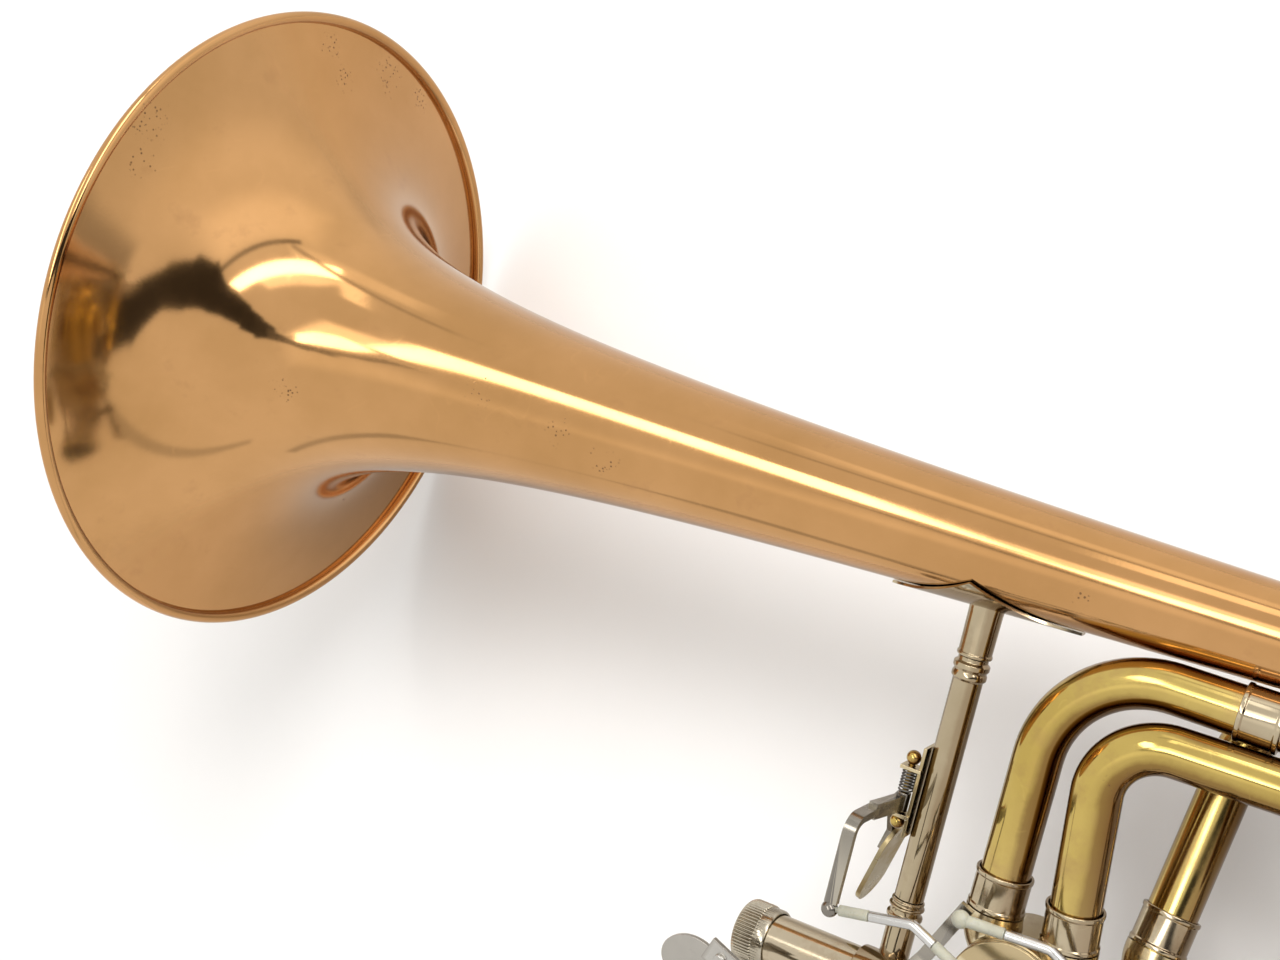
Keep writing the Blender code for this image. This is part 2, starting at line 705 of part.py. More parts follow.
def build_strut(name, start, end, rod_r=1.9, pad_r=4.2, pad_length=1.2, material="nickel_silver"):
    """Cross brace with a round pad at each end."""
    start = np.asarray(start, float)
    end = np.asarray(end, float)
    length = np.linalg.norm(end - start)
    profile = [(0, 0), (0, pad_r), (pad_length, pad_r * 0.8), (pad_length + 1.2, rod_r),
               (length - pad_length - 1.2, rod_r), (length - pad_length, pad_r * 0.8),
               (length, pad_r), (length, 0)]
    return built_object(name, lathe(profile, start, end - start, 10), material)


def coil_path(centre, axis, radius, turns, length, reference, points=SPRING_POINTS):
    first, second = side_frame(axis, reference)
    count = int(points * turns) + 1
    angle = np.linspace(0, 2 * math.pi * turns, count)
    along = np.linspace(0, length, count)
    return (np.asarray(centre, float) + np.outer(along, unit(axis))
            + radius * (np.outer(np.cos(angle), first) + np.outer(np.sin(angle), second)))


def transport_rod(path, radius, sides=5):
    """Rod that keeps one frame along a coil, for springs."""
    tangents = path_tangents(path)
    first = side_frame(tangents[0])[0]
    rings = []
    turns = 2 * math.pi * np.arange(sides) / sides
    for point, tangent in zip(path, tangents):
        first = unit(first - (first @ tangent) * tangent)
        second = np.cross(tangent, first)
        rings.append(point + radius * (np.outer(np.cos(turns), first)
                                       + np.outer(np.sin(turns), second)))
    verts, faces = stitch(rings, closed=False)
    faces.append(tuple(range(sides)))
    faces.append(tuple(range(len(verts) - sides, len(verts))))
    return verts, faces


def report_spring_gap(name, path, points_per_turn, wire_r):
    least = min(np.linalg.norm(path[i] - path[j])
                for i in range(len(path)) for j in range(i + points_per_turn - 2, len(path)))
    print(f"{name}: least gap between coils {least - 2 * wire_r:.2f} mm")


def build_loop_tubes():
    """Tubes A to D from the valve elbows to the slides, with their ferrules."""
    seat_a = tube_seat(CORNER_A, UP_A)
    top_a = np.array((F_TUBE_X, F_NEAR_Y, F_NEAR_Z))
    end_a = np.array((F_COUPLING_X + FERRULE_LENGTH / 2, F_NEAR_Y, F_NEAR_Z))
    build_tube("loop_tube_a", bend_path([seat_a, top_a, end_a], [F_BEND_R]))
    seat_b = tube_seat(CORNER_B, UP_B)
    top_b = line_point(B_LOWER, B_LEAN, B_RUN_Y)
    drop = np.array((B_DROP_X, B_RUN_Y, B_RUN_Z))
    low_b = np.array((B_DROP_X + B_DROP_RUN, F_FAR_Y, F_NEAR_Z))
    end_b = low_b + REAR * 22
    build_tube("loop_tube_b", bend_path([seat_b, top_b, drop, low_b, end_b],
                                        [B_BEND_R, B_DROP_BEND_R, B_DROP_BEND_R]))
    seat_c = tube_seat(CORNER_C, UP_C)
    top_c = line_point(C_LOWER, C_LEAN, C_RUN_Y)
    end_c = np.array((G_COUPLING_X, C_RUN_Y, top_c[2]))
    build_tube("loop_tube_c", bend_path([seat_c, top_c, end_c], [C_BEND_R]))
    seat_d = CORNER_D + REAR * (ELBOW_REACH + ELBOW_LENGTH - TUBE_SOCKET)
    swing = np.array((D_SWING_X, D_RUN_Y, VALVE_2[2]))
    low_d = np.array((D_SWING_X + D_SWING_RUN, D_RUN_Y, top_c[2]))
    end_d = np.array((low_d[0] + 12, D_RUN_Y, top_c[2]))
    path_d = bend_path([seat_d, swing, low_d, end_d], [D_SWING_BEND_R, D_SWING_BEND_R])
    joint_d = ferrule_seat(CORNER_D, REAR)
    built_object("loop_tube_d", tube_mesh(path_d, TUBE_R, TUBE_R - TUBE_WALL), "yellow_brass",
                 add=[tube_mesh(straight(joint_d, joint_d + REAR * FERRULE_LENGTH),
                                TUBE_R + SEAT_GAP + FERRULE_WALL, TUBE_R - TUBE_WALL / 2)])
    for label, corner, onward in (("a", CORNER_A, UP_A), ("b", CORNER_B, UP_B),
                                  ("c", CORNER_C, UP_C)):
        build_ferrule(f"elbow_ferrule_{label}", ferrule_seat(corner, onward), onward, TUBE_R)
    return end_a, end_b, end_c, end_d


def build_valve_slide(label, near_end, far_end, outer_end_x, crook_x, insert):
    """Fixed outer tubes, their coupling ferrules and the sliding crook of one valve loop."""
    for side, end in (("near", near_end), ("far", far_end)):
        build_outer_tube(f"{label}_outer_tube_{side}", end, outer_end_x, TUBE_R, TUBE_R)
    leg = TUBE_R - TUBE_WALL - SLIDE_GAP
    build_crook(f"{label}_slide_crook", near_end, far_end, outer_end_x - insert,
                outer_end_x + SEAT_GAP, crook_x, (leg, leg), (TUBE_R, TUBE_R), "yellow_brass",
                SIDES_TUBE)
    inset = np.array((0.0, -TUBE_R - SEAT_GAP, 0.0))
    at = np.array((crook_x - 6.0, 0, 0))
    build_strut(f"{label}_slide_brace", at + near_end * (0, 1, 1) + inset,
                at + far_end * (0, 1, 1) - inset)
    if label == "second":
        return
    fixed = np.array((outer_end_x - 24.0, 0, 0))
    build_strut(f"{label}_outer_brace", fixed + near_end * (0, 1, 1) + inset,
                fixed + far_end * (0, 1, 1) - inset)


def build_main_slide():
    """Bell-side and neck-side outer tubes and the wide bow that tunes the instrument."""
    neck = np.array((BELL_END_X, MAIN_NECK_Y, 0.0))
    bell_end = np.array((BELL_END_X, 0.0, 0.0))
    wide = MAIN_BELL_OUTER_R
    slim = MAIN_NECK_OUTER_R
    for label, end, radius in (("bell", bell_end, wide), ("neck", neck, slim)):
        joint_r = radius
        if label == "bell":
            joint_r = bell_radius(BELL_END_X - FERRULE_LENGTH / 2) / math.cos(math.pi / SIDES_MAIN)
        build_outer_tube(f"main_outer_tube_{label}", end, MAIN_OUTER_END_X, joint_r, radius, SIDES_MAIN)
    legs = (wide - TUBE_WALL - SLIDE_GAP, slim - TUBE_WALL - SLIDE_GAP)
    build_crook("main_slide_bow", bell_end, neck, MAIN_OUTER_END_X - MAIN_INSERT,
                MAIN_OUTER_END_X + SEAT_GAP, MAIN_BOW_X, legs, (wide, slim), "yellow_brass",
                SIDES_MAIN)
    for label, x, rear in (("outer", MAIN_OUTER_END_X - 40, False), ("slide", MAIN_BOW_X - 12, True)):
        inside = abs(MAIN_BRACE_Z) - MAIN_BRACE_PAD_R
        drop = math.sqrt(wide ** 2 - inside ** 2) + SEAT_GAP
        rise = math.sqrt(slim ** 2 - inside ** 2) + SEAT_GAP
        build_strut(f"main_{label}_brace", (x, -drop, MAIN_BRACE_Z),
                    (x, MAIN_NECK_Y + rise, MAIN_BRACE_Z), 2.2, MAIN_BRACE_PAD_R)


B_RUN_Z = 10.0
F_FAR_Y = F_NEAR_Y - 2 * F_CROOK_R
MAIN_BRACE_Z = -8.0
MAIN_BRACE_PAD_R = 2.9


def build_neck():
    """Receiver with its flange, the tube into the first valve, and the tubes behind it."""
    front = np.array(RECEIVER_FRONT)
    ahead = unit(RECEIVER_DIR)
    length = RECEIVER_LENGTH
    lip = RECEIVER_FLANGE_LENGTH
    profile = [(0, RECEIVER_BORE_R + 0.5), (0, RECEIVER_FLANGE_R), (lip, RECEIVER_FLANGE_R),
               (lip, RECEIVER_R), (length - 0.6, RECEIVER_R), (length, RECEIVER_R - 0.5),
               (length, RECEIVER_BORE_R)]
    built_object("slide_receiver", lathe(profile, front, ahead, 18), "yellow_brass")
    start = front + ahead * (length - NECK_PLUG)
    corner = front + ahead * NECK_CORNER_AT
    port_1 = valve_diagonal(VALVE_1, -1, -1, PORT_REACH - 2.5)
    build_tube("neckpipe", bend_path([start, corner, port_1], [NECK_BEND_R]))
    build_lock_nut(front, ahead)
    out_1 = valve_diagonal(VALVE_1, 1, -1, PORT_REACH - 2.5)
    in_2 = valve_diagonal(VALVE_2, -1, -1, PORT_REACH - 2.5)
    low_x = (VALVE_1[0] + VALVE_2[0] + VALVE_1[1] - VALVE_2[1]) / 2
    corner = np.array((low_x, VALVE_1[1] - (low_x - VALVE_1[0]), 0.0))
    flat = bend_path([out_1 * (1, 1, 0), corner, in_2 * (1, 1, 0)], [LINK_TUBE_BEND_R])
    extra = [flat[0], flat[0] + (flat[1] - flat[0]) * 0.35, flat[0] + (flat[1] - flat[0]) * 0.7]
    after = [flat[-1] + (flat[-2] - flat[-1]) * 0.5]
    path = np.vstack((extra, flat[1:-1], after, flat[-1:]))
    travel = np.concatenate(([0], np.cumsum(np.linalg.norm(np.diff(path, axis=0), axis=1))))
    share = np.clip((travel - 3) / (travel[-1] - 6), 0, 1)
    path[:, 2] = VALVE_1[2] + (VALVE_2[2] - VALVE_1[2]) * share * share * (3 - 2 * share)
    build_tube("valve_link_tube", path)
    out_2 = valve_diagonal(VALVE_2, 1, -1, PORT_REACH - 2.5)
    turn = np.array((VALVE_2[0] + VALVE_2[1] - MAIN_NECK_Y, MAIN_NECK_Y, VALVE_2[2]))
    end = np.array((BELL_END_X, MAIN_NECK_Y, 0.0))
    level = np.array((REAR_NECK_LEVEL_X, MAIN_NECK_Y, 0.0))
    path = bend_path([out_2, turn, level, end], [REAR_NECK_BEND_R, 25.0])
    wide = MAIN_NECK_OUTER_R
    flare = (path[:, 0] - REAR_NECK_FLARE_X) / (REAR_NECK_LEVEL_X - REAR_NECK_FLARE_X)
    radii = TUBE_R + (wide - TUBE_R) * np.clip(flare, 0, 1)
    build_tube("rear_neck_tube", path, outer=radii)


NECK_CORNER_AT = 72.6
REAR_NECK_LEVEL_X = 440.0
REAR_NECK_FLARE_X = 418.0
LINK_TUBE_BEND_R = 12.0


def build_lock_nut(front, ahead):
    """Ring that turns behind the receiver flange, with knurling at its front."""
    wide = RECEIVER_FLANGE_R + SEAT_GAP + 0.05
    tight = RECEIVER_R + SEAT_GAP
    knurl = NUT_KNURL_LENGTH
    profile = [(-0.2, wide), (-0.2, NUT_R - 0.55), (0.6, NUT_R), (knurl - 0.4, NUT_R),
               (knurl, NUT_R - 0.55), (NUT_LENGTH - 0.7, NUT_R - 0.55), (NUT_LENGTH, NUT_R - 0.95),
               (NUT_LENGTH, tight), (RECEIVER_FLANGE_LENGTH + 0.4, tight),
               (RECEIVER_FLANGE_LENGTH + 0.4, wide)]
    sides = 2 * NUT_KNURLS
    rings = []
    for distance, radius in profile:
        ring = ring_points(front + distance * ahead, ahead, radius, sides)
        if radius == NUT_R:
            centre = front + distance * ahead
            ring[::2] = centre + (ring[::2] - centre) * (1 - NUT_KNURL_DEPTH / NUT_R)
        rings.append(ring)
    built_object("lock_nut", stitch(rings, closed=True), "yellow_brass",
                 pivot=tuple(front + ahead * NUT_LENGTH / 2))


def build_brace():
    """Brace between the bell stem and the slide receiver."""
    def down(y):
        return -y

    axis = np.array((BRACE_X, 0.0, 0.0))
    to_receiver = (0, -1, 0)
    stem = [(BRACE_X - 45, 0), (BRACE_X - 45, bell_radius(BRACE_X - 45) + SEAT_GAP),
            (BRACE_X + 45, bell_radius(BRACE_X + 45) + SEAT_GAP), (BRACE_X + 45, 0)]
    sleeve_bore = BRACE_R + SEAT_GAP
    sleeve_end = down(BRACE_SLEEVE_END_Y)
    sleeve = [(13.0, 0), (13.0, BRACE_SLEEVE_R + 1.3), (19.8, BRACE_SLEEVE_R + 0.6),
              (22.0, BRACE_SLEEVE_R), (sleeve_end - 1.6, BRACE_SLEEVE_R),
              (sleeve_end - 1.2, BRACE_SLEEVE_R + 0.5), (sleeve_end, BRACE_SLEEVE_R + 0.5),
              (sleeve_end, 0)]
    hole = [(BRACE_TUBE_TOP - 1, 0), (BRACE_TUBE_TOP - 1, sleeve_bore), (sleeve_end + 1, sleeve_bore),
            (sleeve_end + 1, 0)]
    built_object("brace_flange", diamond_flange(), "yellow_brass",
                 add=[lathe(sleeve, axis, to_receiver, 16)],
                 cut=[lathe(stem, (0, 0, 0), (1, 0, 0), 40), lathe(hole, axis, to_receiver, 16)])
    bead = down(BRACE_BEAD_Y)
    collar_top = down(BRACE_COLLAR_TOP_Y)
    tube_end = collar_top + BRACE_PLUG
    tube = [(BRACE_TUBE_TOP, BRACE_BORE_R), (BRACE_TUBE_TOP, BRACE_R), (bead - 3.4, BRACE_R),
            (bead - 2.4, BRACE_BEAD_R), (bead - 1.0, BRACE_BEAD_R), (bead, BRACE_R + 0.4),
            (bead + 1.0, BRACE_BEAD_R - 0.3), (bead + 2.4, BRACE_BEAD_R - 0.3),
            (bead + 3.4, BRACE_R), (tube_end, BRACE_R), (tube_end, BRACE_BORE_R)]
    built_object("brace_tube", lathe(tube, axis, to_receiver, 16), "nickel_silver")
    collar_end = down(BRACE_COLLAR_END_Y)
    front = np.array(RECEIVER_FRONT)
    ahead = unit(RECEIVER_DIR)
    foot_at = (BRACE_X - front[0]) / ahead[0]
    seat = front + ahead * foot_at
    post_end = -seat[1]
    collar = [(collar_top, 0), (collar_top, BRACE_COLLAR_R), (collar_top + 1.6, BRACE_COLLAR_R),
              (collar_top + 2.0, BRACE_COLLAR_R - 0.9), (collar_end - 0.6, BRACE_COLLAR_R - 0.9),
              (collar_end, BRACE_POST_R), (post_end, BRACE_POST_R), (post_end, 0)]
    hole = [(collar_top - 1, 0), (collar_top - 1, sleeve_bore), (tube_end + SEAT_GAP, sleeve_bore),
            (tube_end + SEAT_GAP, 0)]
    half = BAND_LENGTH / 2
    band = [(-half, 0), (-half, BAND_R), (half, BAND_R), (half, 0)]
    inside = [(-half - 6, 0), (-half - 6, RECEIVER_R + SEAT_GAP), (half + 6, RECEIVER_R + SEAT_GAP),
              (half + 6, 0)]
    built_object("brace_collar", lathe(collar, axis, to_receiver, 16), "yellow_brass",
                 add=[lathe(band, seat, ahead, 20)],
                 cut=[lathe(inside, seat, ahead, 20), lathe(hole, axis, to_receiver, 16)])


BRACE_TUBE_TOP = 20.3
BRACE_PLUG = 5.0
BAND_LENGTH = 17.0
BAND_R = 10.4


def diamond_flange():
    """Long diamond plate bent over the stem, widest at the brace and narrow at both tips."""
    stations = np.linspace(-1, 1, 11) * FLANGE_LENGTH / 2
    columns = np.linspace(-1, 1, 7)
    inner = []
    outer = []
    for station in stations:
        x = BRACE_X + 2.0 + station
        reach = 1 - abs(station) / (FLANGE_LENGTH / 2)
        half_width = 2.2 + (FLANGE_WIDTH / 2 - 2.2) * reach ** 1.15
        base = bell_radius(x) + SEAT_GAP
        for column in columns:
            turn = column * half_width / base
            spoke = np.array((0.0, -math.cos(turn), math.sin(turn)))
            inner.append(np.array((x, 0, 0)) + base * spoke)
            outer.append(np.array((x, 0, 0)) + (base + FLANGE_THICKNESS) * spoke)
    return shell_mesh(np.array(inner), np.array(outer), len(stations), len(columns))


def shell_mesh(inner, outer, rows, columns):
    """Closed plate between two grids of points."""
    count = rows * columns
    faces = []
    for i in range(rows - 1):
        for j in range(columns - 1):
            a = i * columns + j
            faces.append((a, a + 1, a + columns + 1, a + columns))
            faces.append((count + a, count + a + columns, count + a + columns + 1, count + a + 1))
    edge = [j for j in range(columns)] + [i * columns + columns - 1 for i in range(1, rows)]
    edge += [(rows - 1) * columns + j for j in range(columns - 2, -1, -1)]
    edge += [i * columns for i in range(rows - 2, 0, -1)]
    for a, b in zip(edge, edge[1:] + edge[:1]):
        faces.append((a, b, count + b, count + a))
    return np.vstack((inner, outer)), faces


def build_thumb_lever():
    """Thumb lever on its rod beside the brace, with saddle, spring and link to valve 1."""
    x, z = THUMB_AXIS
    down = (0, -1, 0)

    def on_axis(y):
        return np.array((x, y, z))

    brace_side = BRACE_X - BRACE_R - SEAT_GAP
    lug_tops = (THUMB_ROD_TOP_Y - THUMB_BALL_R - SEAT_GAP, THUMB_TUBE_END_Y - SEAT_GAP)
    plate = box_mesh((brace_side - SADDLE_THICKNESS / 2, -81.5, 0.6), (SADDLE_THICKNESS / 2, 15.0, 5.0))
    lugs = [box_mesh(((brace_side + x - 2.9) / 2, top - LUG_THICKNESS / 2, z),
                     ((brace_side - x + 2.9) / 2, LUG_THICKNESS / 2, 2.8)) for top in lug_tops]
    hole = rod_mesh(straight(on_axis(-60), on_axis(-99)), THUMB_ROD_R + SEAT_GAP, 10)
    built_object("thumb_saddle", plate, "yellow_brass", add=lugs, cut=[hole])
    rod = [(0, 0), (0.6, 1.3), (2.05, THUMB_BALL_R), (3.5, 1.5), (3.9, THUMB_ROD_R)]
    length = THUMB_ROD_TOP_Y - THUMB_ROD_END_Y + 2 * THUMB_BALL_R
    rod += [(length - distance, radius) for distance, radius in rod[::-1]]
    built_object("thumb_hinge_rod", lathe(rod, on_axis(THUMB_ROD_TOP_Y + THUMB_BALL_R), down, 10),
                 "yellow_brass")
    spring_top = lug_tops[0] - LUG_THICKNESS - SEAT_GAP - SPRING_WIRE_R
    length = spring_top - (THUMB_TUBE_TOP_Y + SEAT_GAP + SPRING_WIRE_R)
    coil = coil_path(on_axis(spring_top), down, SPRING_COIL_R, SPRING_TURNS, length, (1, 0, 0))
    report_spring_gap("thumb_spring", coil, SPRING_POINTS, SPRING_WIRE_R)
    built_object("thumb_spring", transport_rod(coil, SPRING_WIRE_R), "grey_steel")

    middle_y = (THUMB_TUBE_TOP_Y + THUMB_TUBE_END_Y) / 2
    ball = np.array(LINK_1_START)
    tube = lathe([(0, THUMB_ROD_R + SEAT_GAP), (0, THUMB_TUBE_R), (length_of_tube(), THUMB_TUBE_R),
                  (length_of_tube(), THUMB_ROD_R + SEAT_GAP)], on_axis(THUMB_TUBE_TOP_Y), down, 12)
    arm_top = np.array((x - 3.0, middle_y, z + 19.0))
    channel = bar_mesh(straight(np.array((x - 0.2, middle_y, z + THUMB_TUBE_R - 0.3)), arm_top),
                       5.0, 1.8, (0, 1, 0))
    knee = np.array((ball[0], middle_y - 3.0, ball[2] - LINK_DROP))
    bar = bend_path([arm_top - (0, 0, 1.5), knee, ball * (1, 1, 0) + (0, -3.0, ball[2] - LINK_DROP)],
                    [4.0])
    flat = bar_mesh(bar, LEVER_BAR_WIDTH, LEVER_BAR_THICKNESS, (1, 0, 0))
    stud = rod_mesh(straight(ball - (0, 0, LINK_DROP), ball - (0, 0, LINK_SOCKET_R + SEAT_GAP)), 1.2, 8)
    paddle_top = np.array(PADDLE_TOP)
    neck = bend_path([on_axis(middle_y) + (-1.2, 0, -1.0), np.array((x - 5.0, middle_y - 1.5, z - 6.0)),
                      paddle_top + PADDLE_ALONG * 3.0], [4.0])
    neck_bar = bar_mesh(neck, 5.0, 2.0, PADDLE_ACROSS)
    hole = rod_mesh(straight(on_axis(-70), on_axis(-99)), THUMB_ROD_R + SEAT_GAP, 12)
    built_object("thumb_lever", tube, "yellow_brass", add=[channel, flat, stud, neck_bar], cut=[hole],
                 pivot=tuple(on_axis(middle_y)))
    outline = slot_outline(THUMB_PADDLE_LENGTH / 2, THUMB_PADDLE_WIDTH / 2, 5)
    face = np.cross(PADDLE_ACROSS, PADDLE_ALONG)
    centre = paddle_top + PADDLE_ALONG * THUMB_PADDLE_LENGTH / 2 - face * PADDLE_OFFSET
    paddle = plate_mesh(outline, centre, PADDLE_ACROSS, PADDLE_ALONG, THUMB_PADDLE_THICKNESS)
    built_object("thumb_paddle", paddle, "yellow_brass", pivot=tuple(on_axis(middle_y)))


def length_of_tube():
    return THUMB_TUBE_TOP_Y - THUMB_TUBE_END_Y


def bar_mesh(path, width, thickness, across):
    """Rectangular bar along a path, its width along the given direction."""
    rings = []
    for point, tangent in zip(path, path_tangents(path)):
        side, other = side_frame(tangent, across)
        rings.append(np.array([point + u * side * width / 2 + v * other * thickness / 2
                               for u, v in ((-1, -1), (1, -1), (1, 1), (-1, 1))]))
    verts, faces = stitch(rings, closed=False)
    faces.append((0, 1, 2, 3))
    faces.append(tuple(range(len(verts) - 4, len(verts))))
    return verts, faces


SADDLE_THICKNESS = 1.3
LUG_THICKNESS = 1.2
LINK_DROP = 6.2
PADDLE_TOP = (281.8, -100.8, -5.0)
PADDLE_ALONG = unit((-7.9, -31.8, -10.0))
PADDLE_ACROSS = unit(np.cross(np.cross(PADDLE_ALONG, (-0.47, 0, -0.87)), PADDLE_ALONG))
PADDLE_OFFSET = 2.6


def build_link(number, start, bends, end, pivot_axis):
    """Link rod between two ball sockets. The ball at the rotor end stays in its socket."""
    start = np.array(start)
    end = np.array(end)
    corners = [start] + [np.array(bend) for bend in bends] + [end]
    for label, centre, toward in (("lever", start, corners[1]), ("rotor", end, corners[-2])):
        way = unit(toward - centre)
        radius = LINK_SOCKET_R
        shell = [(-radius, 0), (-radius * 0.7, radius * 0.72), (0, radius), (radius * 0.8, radius * 0.9),
                 (radius * 1.3, 2.4), (LINK_SOCKET_LENGTH, 2.2), (LINK_SOCKET_LENGTH, 0)]
        bore = rod_mesh(straight(centre + way * (LINK_SOCKET_LENGTH - LINK_PLUG),
                                 centre + way * (LINK_SOCKET_LENGTH + 1)), LINK_ROD_R + SEAT_GAP, 8)
        built_object(f"link_{number}_{label}_socket", lathe(shell, centre, way, 14), "nylon",
                     cut=[bore], pivot=tuple(start))
    first = start + unit(corners[1] - start) * (LINK_SOCKET_LENGTH - LINK_PLUG + SEAT_GAP)
    last = end + unit(corners[-2] - end) * (LINK_SOCKET_LENGTH - LINK_PLUG + SEAT_GAP)
    path = bend_path([first] + corners[1:-1] + [last], [LINK_BEND_R] * len(bends))
    built_object(f"link_{number}_rod", rod_mesh(path, LINK_ROD_R), "aluminium", pivot=tuple(start))


LINK_PLUG = 3.0
LINK_BEND_R = 5.0
LINK_1_BENDS = ((306.1, -110.8, 36.0), (325.5, -112.3, 38.0))
LINK_2_BENDS = ((333.0, -102.4, 30.2), (351.0, -103.7, 29.0))


def build_finger_lever():
    """Finger lever on a post on the receiver band, with its spring, plate and clamp."""
    x, y = FINGER_AXIS
    front = np.array(RECEIVER_FRONT)
    ahead = unit(RECEIVER_DIR)
    base_z = (front + ahead * (x - front[0]) / ahead[0])[2] + BAND_R + SEAT_GAP + 0.25
    low, high = FINGER_HUB_Z
    post = [(0, 0), (0, 3.4), (1.4, 3.4), (1.8, FINGER_POST_R), (high + SEAT_GAP - base_z, FINGER_POST_R),
            (high + SEAT_GAP - base_z, 3.4), (high + 1.5 - base_z, 3.0), (high + 1.5 - base_z, 0)]
    built_object("finger_post", lathe(post, (x, y, base_z), (0, 0, 1), 14), "yellow_brass")
    start_z = base_z + 1.8 + SEAT_GAP + SPRING_WIRE_R
    length = low - SEAT_GAP - SPRING_WIRE_R - start_z
    coil = coil_path((x, y, start_z), (0, 0, 1), FINGER_SPRING_COIL_R, FINGER_SPRING_TURNS, length,
                     (1, 0, 0))
    report_spring_gap("finger_spring", coil, SPRING_POINTS, SPRING_WIRE_R)
    built_object("finger_spring", transport_rod(coil, SPRING_WIRE_R), "grey_steel")
    bore = FINGER_POST_R + SEAT_GAP
    hub = [(0, bore), (0, FINGER_HUB_R), (high - low, FINGER_HUB_R), (high - low, bore)]
    ball = np.array(LINK_2_START)
    arm_z = high - 2.2
    level = FINGER_ARM_Z
    arm = bend_path([np.array((x, y + 3.2, arm_z)), np.array((311.8, -120.9, level)),
                     np.array((ball[0], ball[1] + 2.5, level))], [14.0])
    stud = rod_mesh(straight(ball * (1, 1, 0) + (0, 0, level), ball - (0, 0, LINK_SOCKET_R + SEAT_GAP)),
                    1.2, 8)
    plate = np.array(FINGER_PLATE_CENTRE)
    reach = bend_path([np.array((x - 3.2, y, arm_z - 1.5)), np.array((x - 22.0, y - 1.0, plate[2])),
                       np.array((plate[0] - 6.0, plate[1] + 1.5, plate[2]))], [16.0])
    built_object("finger_lever", lathe(hub, (x, y, low), (0, 0, 1), 16), "yellow_brass",
                 add=[bar_mesh(arm, 4.4, FINGER_ARM_THICKNESS, (1, 0, 0)), stud,
                      bar_mesh(reach, 4.4, LEVER_BAR_THICKNESS, (0, 1, 0))],
                 cut=[rod_mesh(straight((x, y, low - 1), (x, y, high + 1)), bore, 16)],
                 pivot=(x, y, (low + high) / 2))
    top = plate[2] + LEVER_BAR_THICKNESS / 2 + SEAT_GAP
    outline = round_outline(FINGER_PLATE_R, 20)
    outline = [(u * 1.15, v * 0.86) for u, v in outline]
    centre = (plate[0], plate[1], top + 0.9)
    built_object("finger_plate", plate_mesh(outline, centre, (1, 0, 0), (0, 1, 0), 1.8),
                 "nickel_silver", pivot=(x, y, (low + high) / 2))
    clamp = [(-9.0, -2.8), (9.0, -2.8), (11.5, 0.0), (9.0, 2.8), (-9.0, 2.8)]
    screw = [(0, 0), (0, 2.0), (1.6, 2.0), (2.0, 1.4), (2.0, 0)]
    seat = (plate[0] + 8.0, plate[1] + 0.4, top + 1.8 + SEAT_GAP + 1.2)
    clamp_plate = plate_mesh(clamp, (plate[0] + 6.0, plate[1] + 1.0, top + 1.8 + SEAT_GAP + 0.9),
                             (0.94, -0.34, 0), (0.34, 0.94, 0), 1.8)
    built_object("finger_clamp", clamp_plate, "yellow_brass",
                 add=[lathe(screw, seat, (0, 0, 1), 12)], pivot=(x, y, (low + high) / 2))


def main():
    clear_scene()
    rest = bpy.data.objects.new("rest_pose", None)
    bpy.context.scene.collection.objects.link(rest)
    rest.rotation_euler = [math.radians(angle) for angle in REST_TURN_DEG]
    rest.location = REST_SHIFT
    for name in FINISH:
        make_material(name)
    build_bell()
    build_brace()
    build_neck()
    elbows_1 = ((-1, CORNER_A, UP_A), (1, CORNER_B, UP_B))
    elbows_2 = ((-1, CORNER_C, UP_C), (1, CORNER_D, REAR))
    for number, valve, elbows, ball, lug_deg, turn in (
            (1, VALVE_1, elbows_1, LINK_1_END, 225.0, 1), (2, VALVE_2, elbows_2, LINK_2_END, 315.0, -1)):
        build_casing(f"valve_{number}_casing", valve, elbows)
        build_rotor(f"valve_{number}_rotor", valve)
        build_valve_plates(number, valve)
        build_stop_arm(number, valve, ball)
        build_bumpers(number, valve, lug_deg, turn)
    end_a, end_b, end_c, end_d = build_loop_tubes()
    build_valve_slide("first", end_a, end_b, F_OUTER_END_X, F_CROOK_X, F_INSERT)
    build_valve_slide("second", end_c, end_d, G_OUTER_END_X, G_CROOK_X, G_INSERT)
    build_main_slide()
    build_thumb_lever()
    build_finger_lever()
    build_link(1, LINK_1_START, LINK_1_BENDS, LINK_1_END, (0, 1, 0))
    build_link(2, LINK_2_START, LINK_2_BENDS, LINK_2_END, (0, 0, 1))
    bpy.context.view_layer.update()


main()
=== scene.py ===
"""Looks of the bass trombone bell section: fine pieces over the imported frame, materials, light, camera."""
import json
import math

import bmesh
import bpy
import numpy as np
from mathutils import Euler, Matrix, Vector


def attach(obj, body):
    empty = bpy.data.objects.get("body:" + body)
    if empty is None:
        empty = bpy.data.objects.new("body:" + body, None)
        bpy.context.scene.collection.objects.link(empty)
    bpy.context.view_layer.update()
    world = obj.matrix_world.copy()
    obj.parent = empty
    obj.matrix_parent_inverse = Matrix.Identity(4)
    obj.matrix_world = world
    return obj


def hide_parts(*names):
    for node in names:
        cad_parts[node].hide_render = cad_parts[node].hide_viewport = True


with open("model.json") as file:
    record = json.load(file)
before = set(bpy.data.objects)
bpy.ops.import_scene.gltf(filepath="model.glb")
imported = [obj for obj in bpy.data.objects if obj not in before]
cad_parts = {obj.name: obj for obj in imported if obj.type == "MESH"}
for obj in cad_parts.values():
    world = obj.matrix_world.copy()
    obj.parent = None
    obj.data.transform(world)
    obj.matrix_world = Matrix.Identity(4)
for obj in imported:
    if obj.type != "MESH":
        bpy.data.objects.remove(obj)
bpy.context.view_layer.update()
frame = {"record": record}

RECORD = frame["record"]
